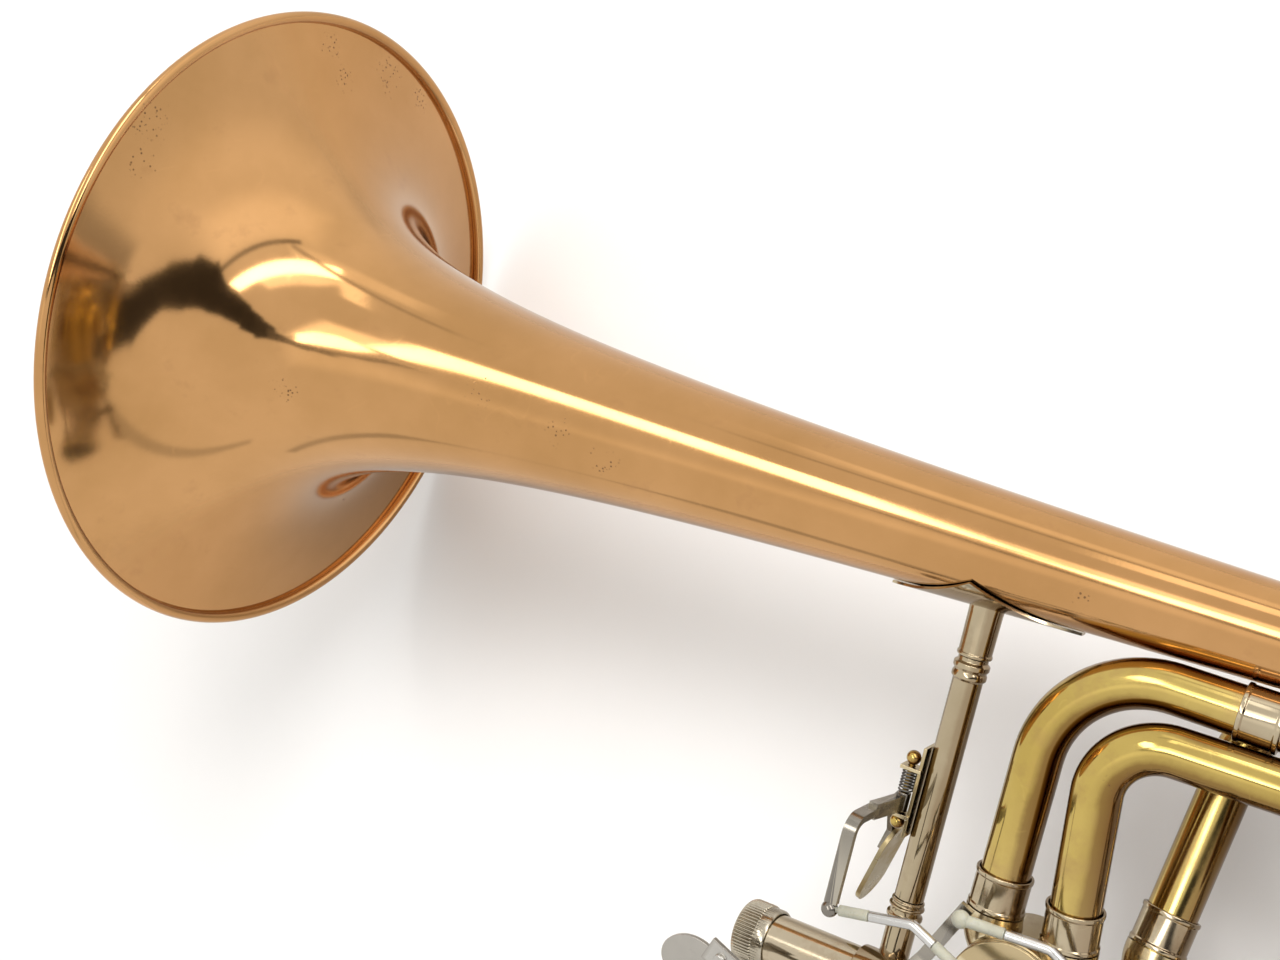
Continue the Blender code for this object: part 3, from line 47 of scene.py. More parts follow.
BODY_OF = {node: body for body, nodes in RECORD["behaviour"]["bodies"].items() for node in nodes}

MM = 0.001

# Rest pose: turn of the bell frame and its shift in metres
REST_TURN_DEG = (9.0, 6.933, 0.0)
REST_SHIFT = (-0.311787, 0.019368, 0.119519)

# Fits
SEAT_GAP = 0.3
SLIDE_GAP = 0.4
BEARING_GAP = 0.3

# Sides of round pieces and turn of one bend segment
FINE = 4
SIDES_BELL = 48
SIDES_TUBE = 12
SIDES_MAIN = 14
SIDES_CASING = 24
BOW_STEPS = 48
SIDES_ROD = 8
BEND_STEP_DEG = 4.0
WELD_DISTANCE = 0.002
EDGE_BEVEL = 0.14
SOFT_RADIUS = 0.45
SOFT_TURN = math.radians(24)
SOFT_STEPS = 5
NUT_RIDGES = 60

# Bell
BELL_RIM_R = 120.65
BELL_BEAD_R = 2.05
BELL_BEAD_X = 1.3
BELL_WALL = 0.8
BELL_STEM_R = 10.47
BELL_TAPER = 0.01537
BELL_FLARE_X = 12.36
BELL_FLARE_POWER = 0.6975
BELL_END_X = 455.0
BELL_STATIONS = (2.0, 4.8, 9.0, 15.0, 24.0, 37.0, 55.0, 80.0, 115.0, 165.0, 235.0, 335.0)

# Loop tubing of both valves
TUBE_R = 7.6
TUBE_WALL = 0.6
LEG_WALL = 0.6
FERRULE_WALL = 0.6
FERRULE_BEAD = 0.35
FERRULE_LENGTH = 12.0
BEAD_LENGTH = 1.2

# Rotary valves
ROTOR_R = 15.3
ROTOR_HEIGHT = 26.0
CASING_WALL = 1.4
CASING_HEIGHT = 29.0
PLATE_THICKNESS = 2.4
PORT_REACH = 20.5
PORT_WALL = 1.0
PASSAGE_R = 6.9
PASSAGE_WAIST_R = 5.3
SPINDLE_R = 3.2
FAR_SPINDLE_R = 2.6
CAP_R = 14.0
CAP_HEIGHT = 5.5
CAP_WALL = 1.3
HUB_HEIGHT = 6.6
HUB_R = 5.0
PASSAGE_BEND_R = 16.0
ARM_THICKNESS = 2.4
ARM_END_R = 2.2
STUD_R = 1.4
LUG_R = 1.6
LUG_OFFSET = 9.0
BUMPER_R = 2.4
BUMPER_HEIGHT = 3.6
HUB_CLEARANCE = 0.4
LUG_RISE = 1.4
STRIP_REACH = 2.6
STRIP_THICKNESS = 1.0
VALVE_1 = (336.5, -124.0, 8.0)
VALVE_2 = (386.5, -127.0, -6.0)

# Receiver, lock nut and neckpipe
RECEIVER_FRONT = (245.4, -149.7, -0.5)
RECEIVER_DIR = (1.0, 0.09, 0.11)
RECEIVER_LENGTH = 58.0
RECEIVER_R = 9.07
RECEIVER_BORE_R = 7.9
RECEIVER_FLANGE_R = 9.6
RECEIVER_FLANGE_LENGTH = 1.4
NUT_R = 10.87
NUT_LENGTH = 11.4
NUT_KNURL_LENGTH = 7.4
NUT_KNURLS = 25
NUT_KNURL_DEPTH = 0.7
NECK_BEND_R = 17.0
NECK_PLUG = 8.0
NECK_CORNER_AT = 72.6
LINK_TUBE_BEND_R = 12.0

# Bell brace
BRACE_X = 295.6
BRACE_R = 4.76
BRACE_TENON_R = 4.3
BRACE_BORE_R = 3.7
BRACE_SLEEVE_R = 5.25
BRACE_SLEEVE_END_Y = -34.6
BRACE_BEAD_Y = -39.3
BRACE_BEAD_R = 5.7
BRACE_TUBE_TOP = 20.3
BRACE_PLUG = 5.0
BRACE_COLLAR_TOP_Y = -116.4
BRACE_COLLAR_R = 4.95
BRACE_COLLAR_BEADS = ((0.3, 0.9, 0.35), (1.9, 1.2, 0.75), (4.7, 2.2, 0.85))
BRACE_POST_R = 4.85
BAND_LENGTH = 17.0
BAND_R = 10.4
FLANGE_LENGTH = 61.0
FLANGE_WIDTH = 36.0
FLANGE_THICKNESS = 1.0
FLANGE_TIP_HALF = 2.2
FLANGE_SHIFT = -0.3
FLANGE_PEAK = -2.6

# Main tuning slide
MAIN_BELL_OUTER_R = 12.0
MAIN_NECK_OUTER_R = 10.2
MAIN_OUTER_END_X = 530.0
MAIN_BOW_STEP = 31.0
MAIN_BOW_X = MAIN_OUTER_END_X + MAIN_BOW_STEP
MAIN_NECK_Y = -147.0
MAIN_INSERT = 62.0
MAIN_TRAVEL = 55.0
REAR_NECK_BEND_R = 18.0
REAR_NECK_LEVEL_BEND_R = 25.0
REAR_NECK_WIDEN_X = 418.0
REAR_NECK_LEVEL_X = 440.0
MAIN_BRACE_Z = -8.0
MAIN_BRACE_PAD_R = 2.9

# First valve slide
F_NEAR_Y = -22.8
F_NEAR_Z = 7.0
F_TUBE_X = 324.1
F_BEND_R = 33.0
B_LOWER = (347.1, -90.0, 11.6)
B_LEAN = (-0.079, 0.073)
B_RUN_Y = -38.8
B_RUN_Z = 10.0
B_CORNER_Y = -111.8
B_BEND_R = 18.0
B_DROP_X = 405.0
B_DROP_RUN = 30.0
B_DROP_BEND_R = 20.0
F_CROOK_R = 29.0
F_FAR_Y = F_NEAR_Y - 2 * F_CROOK_R
F_COUPLING_X = 375.0
F_OUTER_END_X = 500.0
F_CROOK_STEP = 22.0
F_CROOK_X = F_OUTER_END_X + F_CROOK_STEP
F_INSERT = 40.0
F_TRAVEL = 32.0

# Second valve slide
C_LOWER = (370.9, -90.0, -12.7)
C_LEAN = (0.081, -0.257)
C_RUN_Y = -27.0
C_CORNER_Y = -109.8
C_BEND_R = 18.0
D_RUN_Y = -112.0
D_SWING_X = 415.0
D_SWING_RUN = 45.0
D_SWING_BEND_R = 24.0
G_COUPLING_X = 462.0
G_OUTER_END_X = 520.0
G_CROOK_STEP = 14.0
G_CROOK_X = G_OUTER_END_X + G_CROOK_STEP
G_INSERT = 36.0
G_TRAVEL = 30.0

# Thumb lever and its linkage
THUMB_AXIS = (286.5, 3.5)
THUMB_ROD_R = 1.0
THUMB_ROD_TOP_Y = -71.1
THUMB_ROD_END_Y = -92.6
THUMB_KNOB_R = 2.35
THUMB_TUBE_TOP_Y = -82.7
THUMB_TUBE_END_Y = -89.0
THUMB_TUBE_R = 2.1
THUMB_ARM_TOP_Z = 22.5
THUMB_KNEE_Y = -86.6
SADDLE_THICKNESS = 1.1
SADDLE_LENGTH = 30.0
SADDLE_MIDDLE_Y = -81.5
LUG_THICKNESS = 1.2
LUG_REACH = 2.9
PADDLE_LENGTH = 34.0
PADDLE_WIDTH = 16.0
PADDLE_THICKNESS = 1.6
PADDLE_EDGE_TOP = (283.7, -99.9, -1.0)
PADDLE_EDGE_END = (274.4, -131.3, -11.0)
PADDLE_FACING = (0.05, 0.0, -1.0)
PADDLE_STRAP_OFFSET = 2.1
STRAP_KNEE = (-4.6, -1.5, -6.0)
LEVER_BAR_WIDTH = 4.0
LEVER_BAR_THICKNESS = 2.6
LINK_BALL_R = 1.65
LINK_NECK_R = 0.9
LINK_KNUCKLE_R = 2.65
LINK_SOCKET_R = 2.75
LINK_SLEEVE_R = 1.7
LINK_SLEEVE_LENGTH = 13.0
LINK_ROD_R = 1.6
LINK_TENON_R = 0.9
LINK_PLUG = 3.0
LINK_BEND_R = 4.0
LINK_SWING_DEG = 24.0
LINK_1_START = (282.3, -115.6, 34.5)
LINK_1_BENDS = ((308.6, -109.1, 36.0),)
LINK_1_SLEEVE_AT = (316.4, -112.0, 36.7)
LINK_1_SLEEVE_BENDS = ((331.0, -117.4, 38.0),)
LINK_1_END = (343.6, -116.9, 38.0)

# Finger lever and its linkage
FINGER_AXIS = (299.8, -144.8)
FINGER_HUB_R = 4.0
FINGER_HUB_Z = (22.0, 31.0)
FINGER_POST_R = 2.2
FINGER_ARM_Z = 26.6
FINGER_ARM_THICKNESS = 2.2
FINGER_ARM_KNEE = (311.8, -120.9)
FINGER_BAR_WIDTH = 4.4
LINK_2_START = (320.5, -103.4, 31.4)
LINK_2_BENDS = ((346.8, -102.2, 29.0),)
LINK_2_SLEEVE_AT = (368.3, -113.8, 26.3)
LINK_2_SLEEVE_BENDS = ()
LINK_2_END = (379.1, -119.6, 25.0)
FINGER_REACH_KNEE = (279.8, -151.5)
FINGER_PLATE_CENTRE = (240.6, -153.5, 27.0)
FINGER_PLATE_R = 9.5
FINGER_PLATE_THICKNESS = 1.8
CLAMP_AT = (10.5, 6.0)
CLAMP_TURN = (0.94, -0.34)

# Return springs
SPRING_WIRE_R = 0.3
SPRING_COIL_R = 2.2
SPRING_TURNS = 6.5
SPRING_POINTS = 32
FINGER_SPRING_COIL_R = 3.0
FINGER_SPRING_TURNS = 2.5

def unit(vector):
    vector = np.asarray(vector, float)
    return vector / np.linalg.norm(vector)


def side_frame(direction, reference=(0.0, 0.0, 1.0)):
    """Two directions square to the given one, the first nearest to the reference."""
    direction = unit(direction)
    reference = np.asarray(reference, float)
    if abs(direction @ reference) > 0.95:
        reference = np.array((1.0, 0.0, 0.0))
    first = unit(reference - (reference @ direction) * direction)
    return first, np.cross(direction, first)


def ring_points(centre, direction, radius, sides, reference=(0.0, 0.0, 1.0)):
    first, second = side_frame(direction, reference)
    sides = sides * FINE
    turns = 2 * math.pi * (np.arange(sides) + 0.5) / sides
    spread = np.outer(np.cos(turns), first) + np.outer(np.sin(turns), second)
    return np.asarray(centre, float) + radius * spread


def stitch(rings, closed):
    """Faces between rings of points, where a ring of one point is a pole."""
    starts = np.cumsum([0] + [len(ring) for ring in rings])
    pairs = list(zip(range(len(rings) - 1), range(1, len(rings))))
    if closed:
        pairs.append((len(rings) - 1, 0))
    faces = []
    for low, high in pairs:
        a, b = starts[low], starts[high]
        count = max(len(rings[low]), len(rings[high]))
        for k in range(count):
            after = (k + 1) % count
            if len(rings[low]) == 1:
                faces.append((a, b + k, b + after))
            elif len(rings[high]) == 1:
                faces.append((a + k, b, a + after))
            else:
                faces.append((a + k, b + k, b + after, a + after))
    return np.vstack(rings), faces


def soften(profile, radius):
    """The (distance, radius) pairs of a turned profile, with its sharp corners rounded."""
    pairs = np.array(profile, float)
    closed = profile[0][1] != 0
    out = []
    for k, corner in enumerate(pairs):
        back = pairs[k - 1] - corner
        ahead = pairs[(k + 1) % len(pairs)] - corner
        least = min(np.linalg.norm(back), np.linalg.norm(ahead))
        end = not closed and k in (0, len(pairs) - 1)
        if end or least < 0.02:
            out.append(tuple(corner))
            continue
        back = unit(back)
        ahead = unit(ahead)
        turn = math.pi - math.acos(float(np.clip(back @ ahead, -1, 1)))
        if turn < SOFT_TURN:
            out.append(tuple(corner))
            continue
        reach = min(radius * math.tan(turn / 2), 0.4 * least)
        for share in np.linspace(0, 1, SOFT_STEPS):
            near = (1 - share) ** 2 * back + share ** 2 * ahead
            out.append(tuple(corner + reach * near))
    return out


def lathe(profile, origin, direction, sides, reference=(0.0, 0.0, 1.0)):
    """Turned body from (distance, radius) pairs. A pair with radius 0 is a pole."""
    profile = soften(profile, SOFT_RADIUS)
    origin = np.asarray(origin, float)
    direction = unit(direction)
    rings = []
    for distance, radius in profile:
        centre = origin + distance * direction
        if radius == 0:
            rings.append(centre[None, :])
        else:
            rings.append(ring_points(centre, direction, radius, sides, reference))
    return stitch(rings, closed=profile[0][1] != 0)


def bend_path(corners, bend_radii):
    """Straight runs between corners, with an arc of the given radius at each inner corner."""
    corners = [np.asarray(corner, float) for corner in corners]
    path = [corners[0]]
    for before, corner, after, radius in zip(corners, corners[1:], corners[2:], bend_radii):
        back = unit(before - corner)
        ahead = unit(after - corner)
        turn = math.pi - math.acos(float(np.clip(back @ ahead, -1, 1)))
        reach = radius * math.tan(turn / 2)
        centre = corner + unit(back + ahead) * radius / math.cos(turn / 2)
        start = corner + reach * back - centre
        end = corner + reach * ahead - centre
        steps = max(2, round(math.degrees(turn) / BEND_STEP_DEG))
        for k in range(steps + 1):
            share = k / steps
            weights = (math.sin((1 - share) * turn), math.sin(share * turn))
            path.append(centre + (weights[0] * start + weights[1] * end) / math.sin(turn))
    path.append(corners[-1])
    return np.array(path)


def path_tangents(path):
    steps = np.diff(path, axis=0)
    steps /= np.linalg.norm(steps, axis=1)[:, None]
    tangents = np.vstack((steps[:1], steps[:-1] + steps[1:], steps[-1:]))
    return tangents / np.linalg.norm(tangents, axis=1)[:, None]


def path_rings(path, radii, sides, reference=(0.0, 0.0, 1.0)):
    radii = np.broadcast_to(radii, len(path))
    tangents = path_tangents(path)
    return [ring_points(point, tangent, radius, sides, reference)
            for point, tangent, radius in zip(path, tangents, radii)]


def tube_mesh(path, outer, inner, sides=SIDES_TUBE, reference=(0.0, 0.0, 1.0)):
    """Open tube along a path. Radii are numbers, or one for each point."""
    outside = path_rings(path, outer, sides, reference)
    inside = path_rings(path, inner, sides, reference)
    return stitch(outside + inside[::-1], closed=True)


def rod_mesh(path, radii, sides=SIDES_ROD, reference=(0.0, 0.0, 1.0)):
    """Solid rod along a path, with flat ends."""
    rings = path_rings(path, radii, sides, reference)
    verts, faces = stitch(rings, closed=False)
    count = len(rings[0])
    faces.append(tuple(range(count)))
    faces.append(tuple(range(len(verts) - count, len(verts))))
    return verts, faces


def ball_profile(radius, bands=5, last=1.0):
    """(distance, radius) pairs of a ball about distance 0, up to a share of its height."""
    turns = np.linspace(0, math.acos(-last), bands * FINE + 1)
    pairs = [(-radius * math.cos(turn), radius * math.sin(turn)) for turn in turns]
    pairs[0] = (-radius, 0)
    if last == 1.0:
        pairs[-1] = (radius, 0)
    return pairs


def plate_mesh(outline, origin, across, along, thickness):
    """Flat plate from an outline of (across, along) pairs, centred on its thickness."""
    across = unit(across)
    along = unit(along)
    normal = np.cross(across, along)
    base = np.array([np.asarray(origin, float) + u * across + v * along for u, v in outline])
    count = len(base)
    verts = np.vstack((base - normal * thickness / 2, base + normal * thickness / 2))
    faces = [tuple(range(count)), tuple(range(count, 2 * count))]
    faces += [(k, (k + 1) % count, count + (k + 1) % count, count + k) for k in range(count)]
    return verts, faces


def round_outline(radius, sides, centre=(0.0, 0.0)):
    turns = 2 * math.pi * np.arange(sides * FINE) / (sides * FINE)
    return [(centre[0] + radius * math.cos(t), centre[1] + radius * math.sin(t)) for t in turns]


def slot_outline(half_length, half_width, corner_steps=4):
    """Long shape along the second axis with round ends."""
    outline = []
    for sign in (1, -1):
        for k in range(corner_steps * FINE + 1):
            turn = math.pi * k / (corner_steps * FINE)
            outline.append((sign * half_width * math.cos(turn),
                            sign * (half_length - half_width + half_width * math.sin(turn))))
    return outline


def plain_object(name, mesh_data):
    verts, faces = mesh_data
    mesh = bpy.data.meshes.new(name)
    mesh.from_pydata([tuple(v) for v in np.asarray(verts, float)], [], faces)
    shape = bmesh.new()
    shape.from_mesh(mesh)
    bmesh.ops.recalc_face_normals(shape, faces=shape.faces)
    shape.to_mesh(mesh)
    shape.free()
    obj = bpy.data.objects.new(name, mesh)
    bpy.context.scene.collection.objects.link(obj)
    return obj


def bake_boolean(obj, tools, operation):
    """Apply one exact boolean for each tool and remove the tools."""
    for tool in tools:
        modifier = obj.modifiers.new(operation.lower(), "BOOLEAN")
        modifier.operation = operation
        modifier.solver = "EXACT"
        modifier.object = tool
        bpy.context.view_layer.update()
        graph = bpy.context.evaluated_depsgraph_get()
        result = bpy.data.meshes.new_from_object(obj.evaluated_get(graph))
        obj.modifiers.clear()
        spent = obj.data
        obj.data = result
        weld(obj.data)
        bpy.data.meshes.remove(spent)
        bpy.data.objects.remove(tool, do_unlink=True)


def weld(mesh):
    """Join points that a boolean left on the same spot."""
    shape = bmesh.new()
    shape.from_mesh(mesh)
    bmesh.ops.remove_doubles(shape, verts=shape.verts, dist=WELD_DISTANCE)
    bmesh.ops.dissolve_degenerate(shape, dist=WELD_DISTANCE, edges=shape.edges)
    shape.to_mesh(mesh)
    shape.free()


def tool_from(mesh_data):
    return plain_object("tool", mesh_data)


def built_object(name, body, material, add=(), cut=(), pivot=None, bevel=EDGE_BEVEL):
    """A fine piece in place of the CAD node of that name."""
    obj = plain_object(name + "_fine", body)
    bake_boolean(obj, [tool_from(data) for data in add], "UNION")
    bake_boolean(obj, [tool_from(data) for data in cut], "DIFFERENCE")
    obj.data.materials.clear()
    obj.data.materials.append(LOOKS[NODE_LOOK.get(name, material)])
    obj.data.transform(REST @ Matrix.Scale(MM, 4))
    for polygon in obj.data.polygons:
        polygon.use_smooth = True
        polygon.material_index = 0
    if bevel:
        edge = obj.modifiers.new("edge", "BEVEL")
        edge.width = bevel * MM
        edge.segments = 2
        edge.limit_method = "ANGLE"
        edge.angle_limit = math.radians(32)
        edge.harden_normals = True
    obj.data.set_sharp_from_angle(angle=math.radians(32))
    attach(obj, BODY_OF[name])
    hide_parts(name)
    return obj


def bell_radius(x):
    flare = BELL_RIM_R - BELL_STEM_R
    return BELL_STEM_R - BELL_TAPER * x + flare * (1 + x / BELL_FLARE_X) ** -BELL_FLARE_POWER


def build_bell():
    stations = BELL_STATIONS[0] + (BELL_END_X - BELL_STATIONS[0]) * np.linspace(0, 1, 90) ** 2.2
    outer = np.column_stack((stations, bell_radius(stations)))
    slopes = (bell_radius(stations + 0.01) - bell_radius(stations)) / 0.01
    inward = np.column_stack((slopes, -np.ones(len(slopes))))
    inward /= np.linalg.norm(inward, axis=1)[:, None]
    inner = outer + BELL_WALL * inward
    inner[-1, 0] = BELL_END_X
    bead_centre = np.array((BELL_BEAD_X, BELL_RIM_R - BELL_BEAD_R))
    turns = np.radians(np.linspace(246, 582, 40))
    bead = bead_centre + BELL_BEAD_R * np.column_stack((np.cos(turns), np.sin(turns)))
    profile = np.vstack((outer[::-1], bead, inner))
    body = lathe([tuple(pair) for pair in profile], (0, 0, 0), (1, 0, 0), SIDES_BELL)
    return built_object("bell", body, "rose_brass")


def build_ferrule(name, start, direction, tube_r, length=FERRULE_LENGTH, sides=SIDES_TUBE):
    inner = tube_r + SEAT_GAP
    outer = inner + FERRULE_WALL
    bead = outer + FERRULE_BEAD
    profile = [(0, inner), (0, bead), (BEAD_LENGTH, bead), (BEAD_LENGTH + 0.5, outer),
               (length - BEAD_LENGTH - 0.5, outer), (length - BEAD_LENGTH, bead),
               (length, bead), (length, inner)]
    return built_object(name, lathe(profile, start, direction, sides), "nickel_silver")


def valve_diagonal(valve, across, up, distance):
    step = distance / math.sqrt(2)
    return np.array((valve[0] + across * step, valve[1] + up * step, valve[2]))


def line_point(through, lean, y):
    """Point at height y on a loop tube that leans by (x, z) for each unit of y."""
    rise = y - through[1]
    return np.array((through[0] + lean[0] * rise, y, through[2] + lean[1] * rise))


ELBOW_R = 9.6
ELBOW_REACH = ELBOW_R * math.tan(math.radians(22.5))
ELBOW_LENGTH = 2.0
TUBE_SOCKET = 1.6
CORNER_A = np.array((F_TUBE_X, VALVE_1[1] + VALVE_1[0] - F_TUBE_X, F_NEAR_Z))
CORNER_B = line_point(B_LOWER, B_LEAN, B_CORNER_Y)
CORNER_C = line_point(C_LOWER, C_LEAN, C_CORNER_Y)
CORNER_D = np.array((VALVE_2[0] + D_RUN_Y - VALVE_2[1], D_RUN_Y, VALVE_2[2]))
UP_A = np.array((0.0, 1.0, 0.0))
UP_B = unit((B_LEAN[0], 1.0, B_LEAN[1]))
UP_C = unit((C_LEAN[0], 1.0, C_LEAN[1]))
REAR = np.array((1.0, 0.0, 0.0))


def elbow_path(valve, across, corner, onward):
    start = valve_diagonal(valve, across, 1, 8.0)
    end = corner + onward * (ELBOW_REACH + ELBOW_LENGTH)
    return bend_path([start, corner, end], [ELBOW_R])


def tube_seat(corner, onward):
    """Where a loop tube ends inside the casing elbow."""
    return corner + onward * (ELBOW_REACH + ELBOW_LENGTH - TUBE_SOCKET)


def ferrule_seat(corner, onward):
    return corner + onward * (ELBOW_REACH + ELBOW_LENGTH + SEAT_GAP)


def straight(start, end):
    return np.array((start, end), float)


def build_casing(name, valve, elbows):
    """Casing with its near bearing wall, two elbows above and two straight ports below."""
    bore = ROTOR_R + BEARING_GAP
    edge = bore + CASING_WALL
    half = CASING_HEIGHT / 2
    top = plate_top()
    hole = SPINDLE_R + BEARING_GAP
    barrel = [(-half, 0), (-half, edge), (half, edge), (half + 0.3, edge - 0.5),
              (half + 0.9, edge - 0.5), (half + 1.2, edge), (top - 0.3, edge), (top, edge - 0.4),
              (top, 0)]
    hollow = [(-half - 1, 0), (-half - 1, bore), (half, bore), (half, hole), (top + 1, hole),
              (top + 1, 0)]
    seat = TUBE_R + SEAT_GAP
    add = []
    cut = [lathe(hollow, valve, (0, 0, 1), SIDES_CASING)]
    for across, corner, onward in elbows:
        path = elbow_path(valve, across, corner, onward)
        add.append(rod_mesh(path, seat + PORT_WALL, SIDES_TUBE))
        past = np.vstack((path[:-1], path[-1] + onward))
        cut.append(rod_mesh(past, seat, SIDES_TUBE))
    for across in (-1, 1):
        start = valve_diagonal(valve, across, -1, 7.0)
        end = valve_diagonal(valve, across, -1, PORT_REACH)
        past = valve_diagonal(valve, across, -1, PORT_REACH + 1)
        add.append(rod_mesh(straight(start, end), seat + PORT_WALL, SIDES_TUBE))
        cut.append(rod_mesh(straight(start, past), seat, SIDES_TUBE))
    body = lathe(barrel, valve, (0, 0, 1), SIDES_CASING)
    return built_object(name, body, "yellow_brass", add, cut)


def build_rotor(name, valve):
    """Rotor core with its two curved passages and both spindles."""
    half = ROTOR_HEIGHT / 2
    near_end = plate_top() + HUB_HEIGHT
    far_end = CASING_HEIGHT / 2 + SEAT_GAP + PLATE_THICKNESS + 2.0
    profile = [(-far_end, 0), (-far_end, FAR_SPINDLE_R), (-half, FAR_SPINDLE_R), (-half, ROTOR_R),
               (half, ROTOR_R), (half, SPINDLE_R), (near_end, SPINDLE_R), (near_end, 0)]
    passages = []
    for up in (1, -1):
        corners = [valve_diagonal(valve, -1, up, 18), np.array(valve), valve_diagonal(valve, 1, up, 18)]
        path = bend_path(corners, [PASSAGE_BEND_R])
        inner = np.linalg.norm(path - np.array(valve), axis=1)
        share = np.clip((inner - inner.min()) / (ROTOR_R - inner.min()), 0, 1)
        radii = PASSAGE_WAIST_R + (PASSAGE_R - PASSAGE_WAIST_R) * share
        passages.append(rod_mesh(path, radii, 12))
    body = lathe(profile, valve, (0, 0, 1), 24)
    return built_object(name, body, "yellow_brass", cut=passages, pivot=valve)


def plate_top():
    """Height of the near bearing wall's face over the valve centre."""
    return CASING_HEIGHT / 2 + PLATE_THICKNESS


def build_valve_plates(number, valve):
    """Far bearing plate and the screw cap over it."""
    valve = np.array(valve)
    edge = ROTOR_R + BEARING_GAP + CASING_WALL
    low = CASING_HEIGHT / 2 + SEAT_GAP
    top = low + PLATE_THICKNESS
    far_hole = FAR_SPINDLE_R + BEARING_GAP
    far = [(low, far_hole), (low, edge - 1.0), (top, edge - 1.0), (top, far_hole)]
    built_object(f"valve_{number}_far_plate", lathe(far, valve, (0, 0, -1), 16), "yellow_brass")
    base = top + SEAT_GAP
    floor = base + CAP_HEIGHT
    inside = CAP_R - CAP_WALL
    cap = [(floor - CAP_WALL, 0), (floor - CAP_WALL, inside - 0.8), (base, inside), (base, CAP_R),
           (floor - 1.2, CAP_R), (floor, CAP_R - 1.6), (floor, 0)]
    built_object(f"valve_{number}_cap", lathe(cap, valve, (0, 0, -1), 18), "yellow_brass")


def build_stop_arm(number, valve, ball):
    """Arm on the spindle with the stud under the link and the lug that meets the bumpers."""
    valve = np.array(valve)
    low = valve[2] + plate_top() + HUB_CLEARANCE
    top = valve[2] + plate_top() + HUB_HEIGHT
    hub = [(0, SPINDLE_R + SEAT_GAP), (0, HUB_R), (top - low, HUB_R), (top - low, SPINDLE_R + SEAT_GAP)]
    base = np.array((valve[0], valve[1], low))
    out = np.array((ball[0] - valve[0], ball[1] - valve[1], 0.0))
    reach = np.linalg.norm(out)
    out = unit(out)
    sideways = np.array((-out[1], out[0], 0.0))
    mid = np.array((valve[0], valve[1], top - ARM_THICKNESS / 2))
    arm = [(-HUB_R + 1.2, 3.9), (HUB_R - 1.2, 3.9)]
    arm += [(ARM_END_R, reach), (ARM_END_R * 0.6, reach + ARM_END_R * 0.8),
            (-ARM_END_R * 0.6, reach + ARM_END_R * 0.8), (-ARM_END_R, reach)]
    tail = [(-HUB_R + 1.2, -3.9), (HUB_R - 1.2, -3.9), (LUG_R, -LUG_OFFSET - LUG_R),
            (-LUG_R, -LUG_OFFSET - LUG_R)]
    stud_top = ball[2] - LINK_SOCKET_R - HUB_CLEARANCE
    stud = straight(mid + out * reach, (ball[0], ball[1], stud_top))
    lug_centre = mid - out * LUG_OFFSET
    lug = straight(lug_centre, lug_centre - (0, 0, top - ARM_THICKNESS / 2 - low - LUG_RISE))
    add = [plate_mesh(arm, mid, sideways, out, ARM_THICKNESS),
           plate_mesh(tail, mid, sideways, out, ARM_THICKNESS),
           rod_mesh(stud, STUD_R, 8), rod_mesh(lug, LUG_R, 10)]
    body = lathe(hub, base, (0, 0, 1), 20)
    built_object(f"valve_{number}_stop_arm", body, "grey_steel", add, pivot=tuple(valve))
    screw = [(SEAT_GAP, 0), (SEAT_GAP, 4.2), (1.0, 4.2), (1.3, 3.7), (1.3, 0)]
    head = lathe(screw, (valve[0], valve[1], top), (0, 0, 1), 16)
    slot = box_mesh((valve[0], valve[1], top + 1.2), (6.0, 0.45, 0.5))
    built_object(f"valve_{number}_arm_screw", head, "dark_steel", cut=[slot], pivot=tuple(valve))


def box_mesh(centre, half):
    corners = [(x, y) for x, y in ((-1, -1), (1, -1), (1, 1), (-1, 1))]
    outline = [(half[0] * x, half[1] * y) for x, y in corners]
    return plate_mesh(outline, centre, (1, 0, 0), (0, 1, 0), 2 * half[2])


def build_bumpers(number, valve, lug_rest_deg, turn):
    """Rubber bumper strip with two posts that stop the lug a quarter turn apart."""
    apart = 2 * math.degrees(math.asin((LUG_R + BUMPER_R + HUB_CLEARANCE) / 2 / LUG_OFFSET))
    base = np.array(valve) + (0, 0, plate_top() + SEAT_GAP)
    feet = []
    for angle in (lug_rest_deg - turn * apart, lug_rest_deg + turn * (90 + apart)):
        at = math.radians(angle)
        feet.append(base + LUG_OFFSET * np.array((math.cos(at), math.sin(at), 0.0)))
    posts = []
    for foot in feet:
        profile = [(0.2, 0), (0.2, BUMPER_R), (BUMPER_HEIGHT - 0.5, BUMPER_R),
                   (BUMPER_HEIGHT, BUMPER_R - 0.5), (BUMPER_HEIGHT, 0)]
        posts.append(lathe(profile, foot, (0, 0, 1), 12))
    first = min(lug_rest_deg - turn * apart, lug_rest_deg + turn * (90 + apart)) - 8
    last = max(lug_rest_deg - turn * apart, lug_rest_deg + turn * (90 + apart)) + 8
    turns = np.radians(np.linspace(first, last, 61))
    ring = [(LUG_OFFSET + STRIP_REACH, t) for t in turns] + [(LUG_OFFSET - 1.8, t) for t in turns[::-1]]
    outline = [(r * math.cos(t), r * math.sin(t)) for r, t in ring]
    strip = plate_mesh(outline, base + (0, 0, STRIP_THICKNESS / 2), (1, 0, 0), (0, 1, 0),
                       STRIP_THICKNESS)
    built_object(f"valve_{number}_bumpers", strip, "cork_rubber", add=posts)




def build_tube(name, path, material="yellow_brass", outer=TUBE_R, wall=TUBE_WALL, sides=SIDES_TUBE):
    outer = np.broadcast_to(outer, len(path))
    return built_object(name, tube_mesh(path, outer, outer - wall, sides), material)


